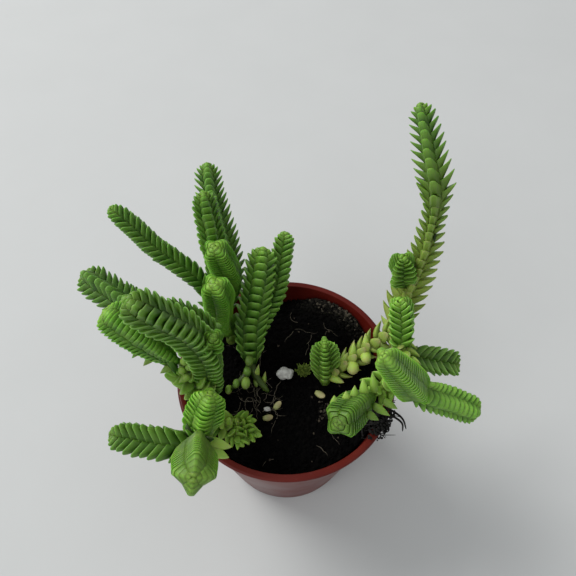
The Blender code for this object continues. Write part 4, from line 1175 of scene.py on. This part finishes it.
def make_roots():
    """Black dried roots and peat crumbs caught over the rim on the right."""
    low, high = (np.array(v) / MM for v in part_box("root_tuft"))
    draw = random.Random(SEED + 30)
    skin = Skin()
    for _ in range(RIM_ROOTS):
        turn = math.radians(draw.gauss(-30, 7.5))
        out = draw.uniform(20.5, 26.5)
        heading = draw.uniform(0, FULL_TURN)
        x, y = polar(out, turn)
        z = draw.uniform(high[2] - 2.0, high[2] - 0.6)
        points = []
        for _ in range(draw.randint(4, 8)):
            points.append(tuple(np.clip((x, y, z), low + 0.3, high - 0.3)))
            heading += draw.uniform(-1.1, 1.1)
            x += 1.1 * math.cos(heading)
            y += 1.1 * math.sin(heading)
            z += draw.uniform(-0.6, 0.45)
        add_fibre(skin, points, draw.uniform(0.10, 0.24) * MM, 6, chance=draw.random())
    for turn, drop in ((-37, 4.6), (-30, 6.1), (-23, 5.2), (-33, 3.4), (-26, 3.9)):
        points = []
        for share in np.linspace(0, 1, 7):
            out = 26.6 - 5.2 * share + draw.uniform(-0.25, 0.25)
            bend = math.radians(turn) + draw.uniform(-0.02, 0.02)
            points.append((*polar(out, bend), high[2] - 1.2 - drop * share))
        add_fibre(skin, points, 0.32 * MM, 7, chance=draw.random())
    # Two strands that stick out over the rim
    for shift in (0.0, 0.9):
        points = [(24 - shift, -11.2 - 1.5 * shift, 51), (26.3 - 0.6 * shift, -12.5 - shift, 50.4),
                  (27.8 - 0.4 * shift, -13.4 - shift, 48.9),
                  (28.7 - shift, -14.7 - 0.6 * shift, 46.6)]
        add_fibre(skin, points, 0.27 * MM, 7, chance=draw.random())
    small = ball(1)
    for _ in range(RIM_CRUMBS):
        turn = math.radians(draw.gauss(-31, 4.6))
        out = min(draw.gauss(26.2, 1.4), 28.4)
        place = np.array([*polar(out, turn), 50.2 - 0.42 * abs(out - 25) - draw.uniform(0, 1.2)])
        add_crumb(skin, small, place * MM, draw.uniform(0.22, 0.55) * MM, 0.8, draw,
                  chance=draw.random())
    material = plain_material("dried_root", (0.0015, 0.0015, 0.0015), (0.009, 0.0075, 0.0065),
                              1400.0, 0.85, 0.6, 0.1 * MM)
    mesh = skin.mesh("dried_roots")
    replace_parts(add_object("dried_roots", mesh, material), "root_tuft")


# Plant


def add_bare_stem(skin, shoot):
    points = [point[:3] for point in shoot.points]
    if len(points) == 2:
        points.insert(1, tuple(0.5 * (a + b) for a, b in zip(*points)))
    add_fibre(skin, points, 0.5 * shoot.points[0][3] * MM, 12, age=shoot.age[0],
              chance=0.5, light=shoot.light)


def make_stems():
    for number, (node, (shoots, flat_green_and_shade, tip_green_and_highlight)) in enumerate(STEMS.items(), 1):
        draw = random.Random(SEED + 100 * number)
        skin = Skin()
        for shoot in shoots:
            if shoot.form in ("foot", "stalk"):
                add_bare_stem(skin, shoot)
            elif shoot.form in FORMS:
                grow_tight(skin, shoot, draw)
            else:
                grow_loose(skin, shoot, draw)
        for row in SINGLES.get(node, ()):
            add_single(skin, Single(*row), draw)
        material = leaf_material(f"{node}_skin", flat_green_and_shade, tip_green_and_highlight)
        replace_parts(add_object(f"{node}_leaves", skin.mesh(node), material), node)


# Floor, light and camera


def make_stage():
    reach = 1.6
    corners = [(-reach, -reach, 0), (reach, -reach, 0), (reach, reach, 0), (-reach, reach, 0)]
    mesh = bpy.data.meshes.new("table_top")
    mesh.from_pydata(corners, [], [(0, 1, 2, 3)])
    s = Shading("table_paint", 0.7, 0.2)
    colour = s.mix(s.noise(30.0), (0.53, 0.54, 0.535), (0.56, 0.57, 0.565))
    mesh.materials.append(s.finish(colour, s.noise(900.0), 0.05, 0.1 * MM))
    table = new_object("table_top", mesh)
    # Just under the pot's foot
    table.location = (0, 0, -0.2 * MM)


def add_area(name, place, target, size, power, colour):
    light = bpy.data.lights.new(name, "AREA")
    light.shape = "DISK"
    light.size = size
    light.energy = power
    light.color = colour
    lamp = new_object(name, light)
    lamp.location = place
    lamp.rotation_euler = (Vector(target) - Vector(place)).to_track_quat("-Z", "Y").to_euler()


def make_light():
    aim = (0, 0, 0.05)
    add_area("window_light", (-1.1, 0.75, 1.35), aim, 1.1, 25.0, (1.0, 0.995, 0.98))
    add_area("fill_light", (-0.9, -0.9, 1.2), aim, 1.2, 8.0, (0.97, 0.985, 1.0))
    world = bpy.data.worlds.new("studio_air")
    bpy.context.scene.world = world
    world.use_nodes = True
    back = world.node_tree.nodes["Background"]
    back.inputs["Color"].default_value = (0.96, 0.98, 1.0, 1.0)
    back.inputs["Strength"].default_value = 0.48
    bpy.context.scene.view_settings.view_transform = "Standard"


def make_camera():
    lens = bpy.data.cameras.new("photo_camera")
    lens.lens = CAMERA_LENS
    lens.sensor_width = CAMERA_SENSOR
    lens.clip_start = 0.005
    lens.clip_end = 10.0
    camera = new_object("photo_camera", lens)
    camera.location = CAMERA_PLACE
    camera.rotation_euler = (CAMERA_TILT, 0.0, 0.0)
    bpy.context.scene.camera = camera


make_camera()
make_pot()
make_soil()
make_grains()
make_fallen_leaves()
make_moss()
make_roots()
make_stems()
make_stage()
make_light()
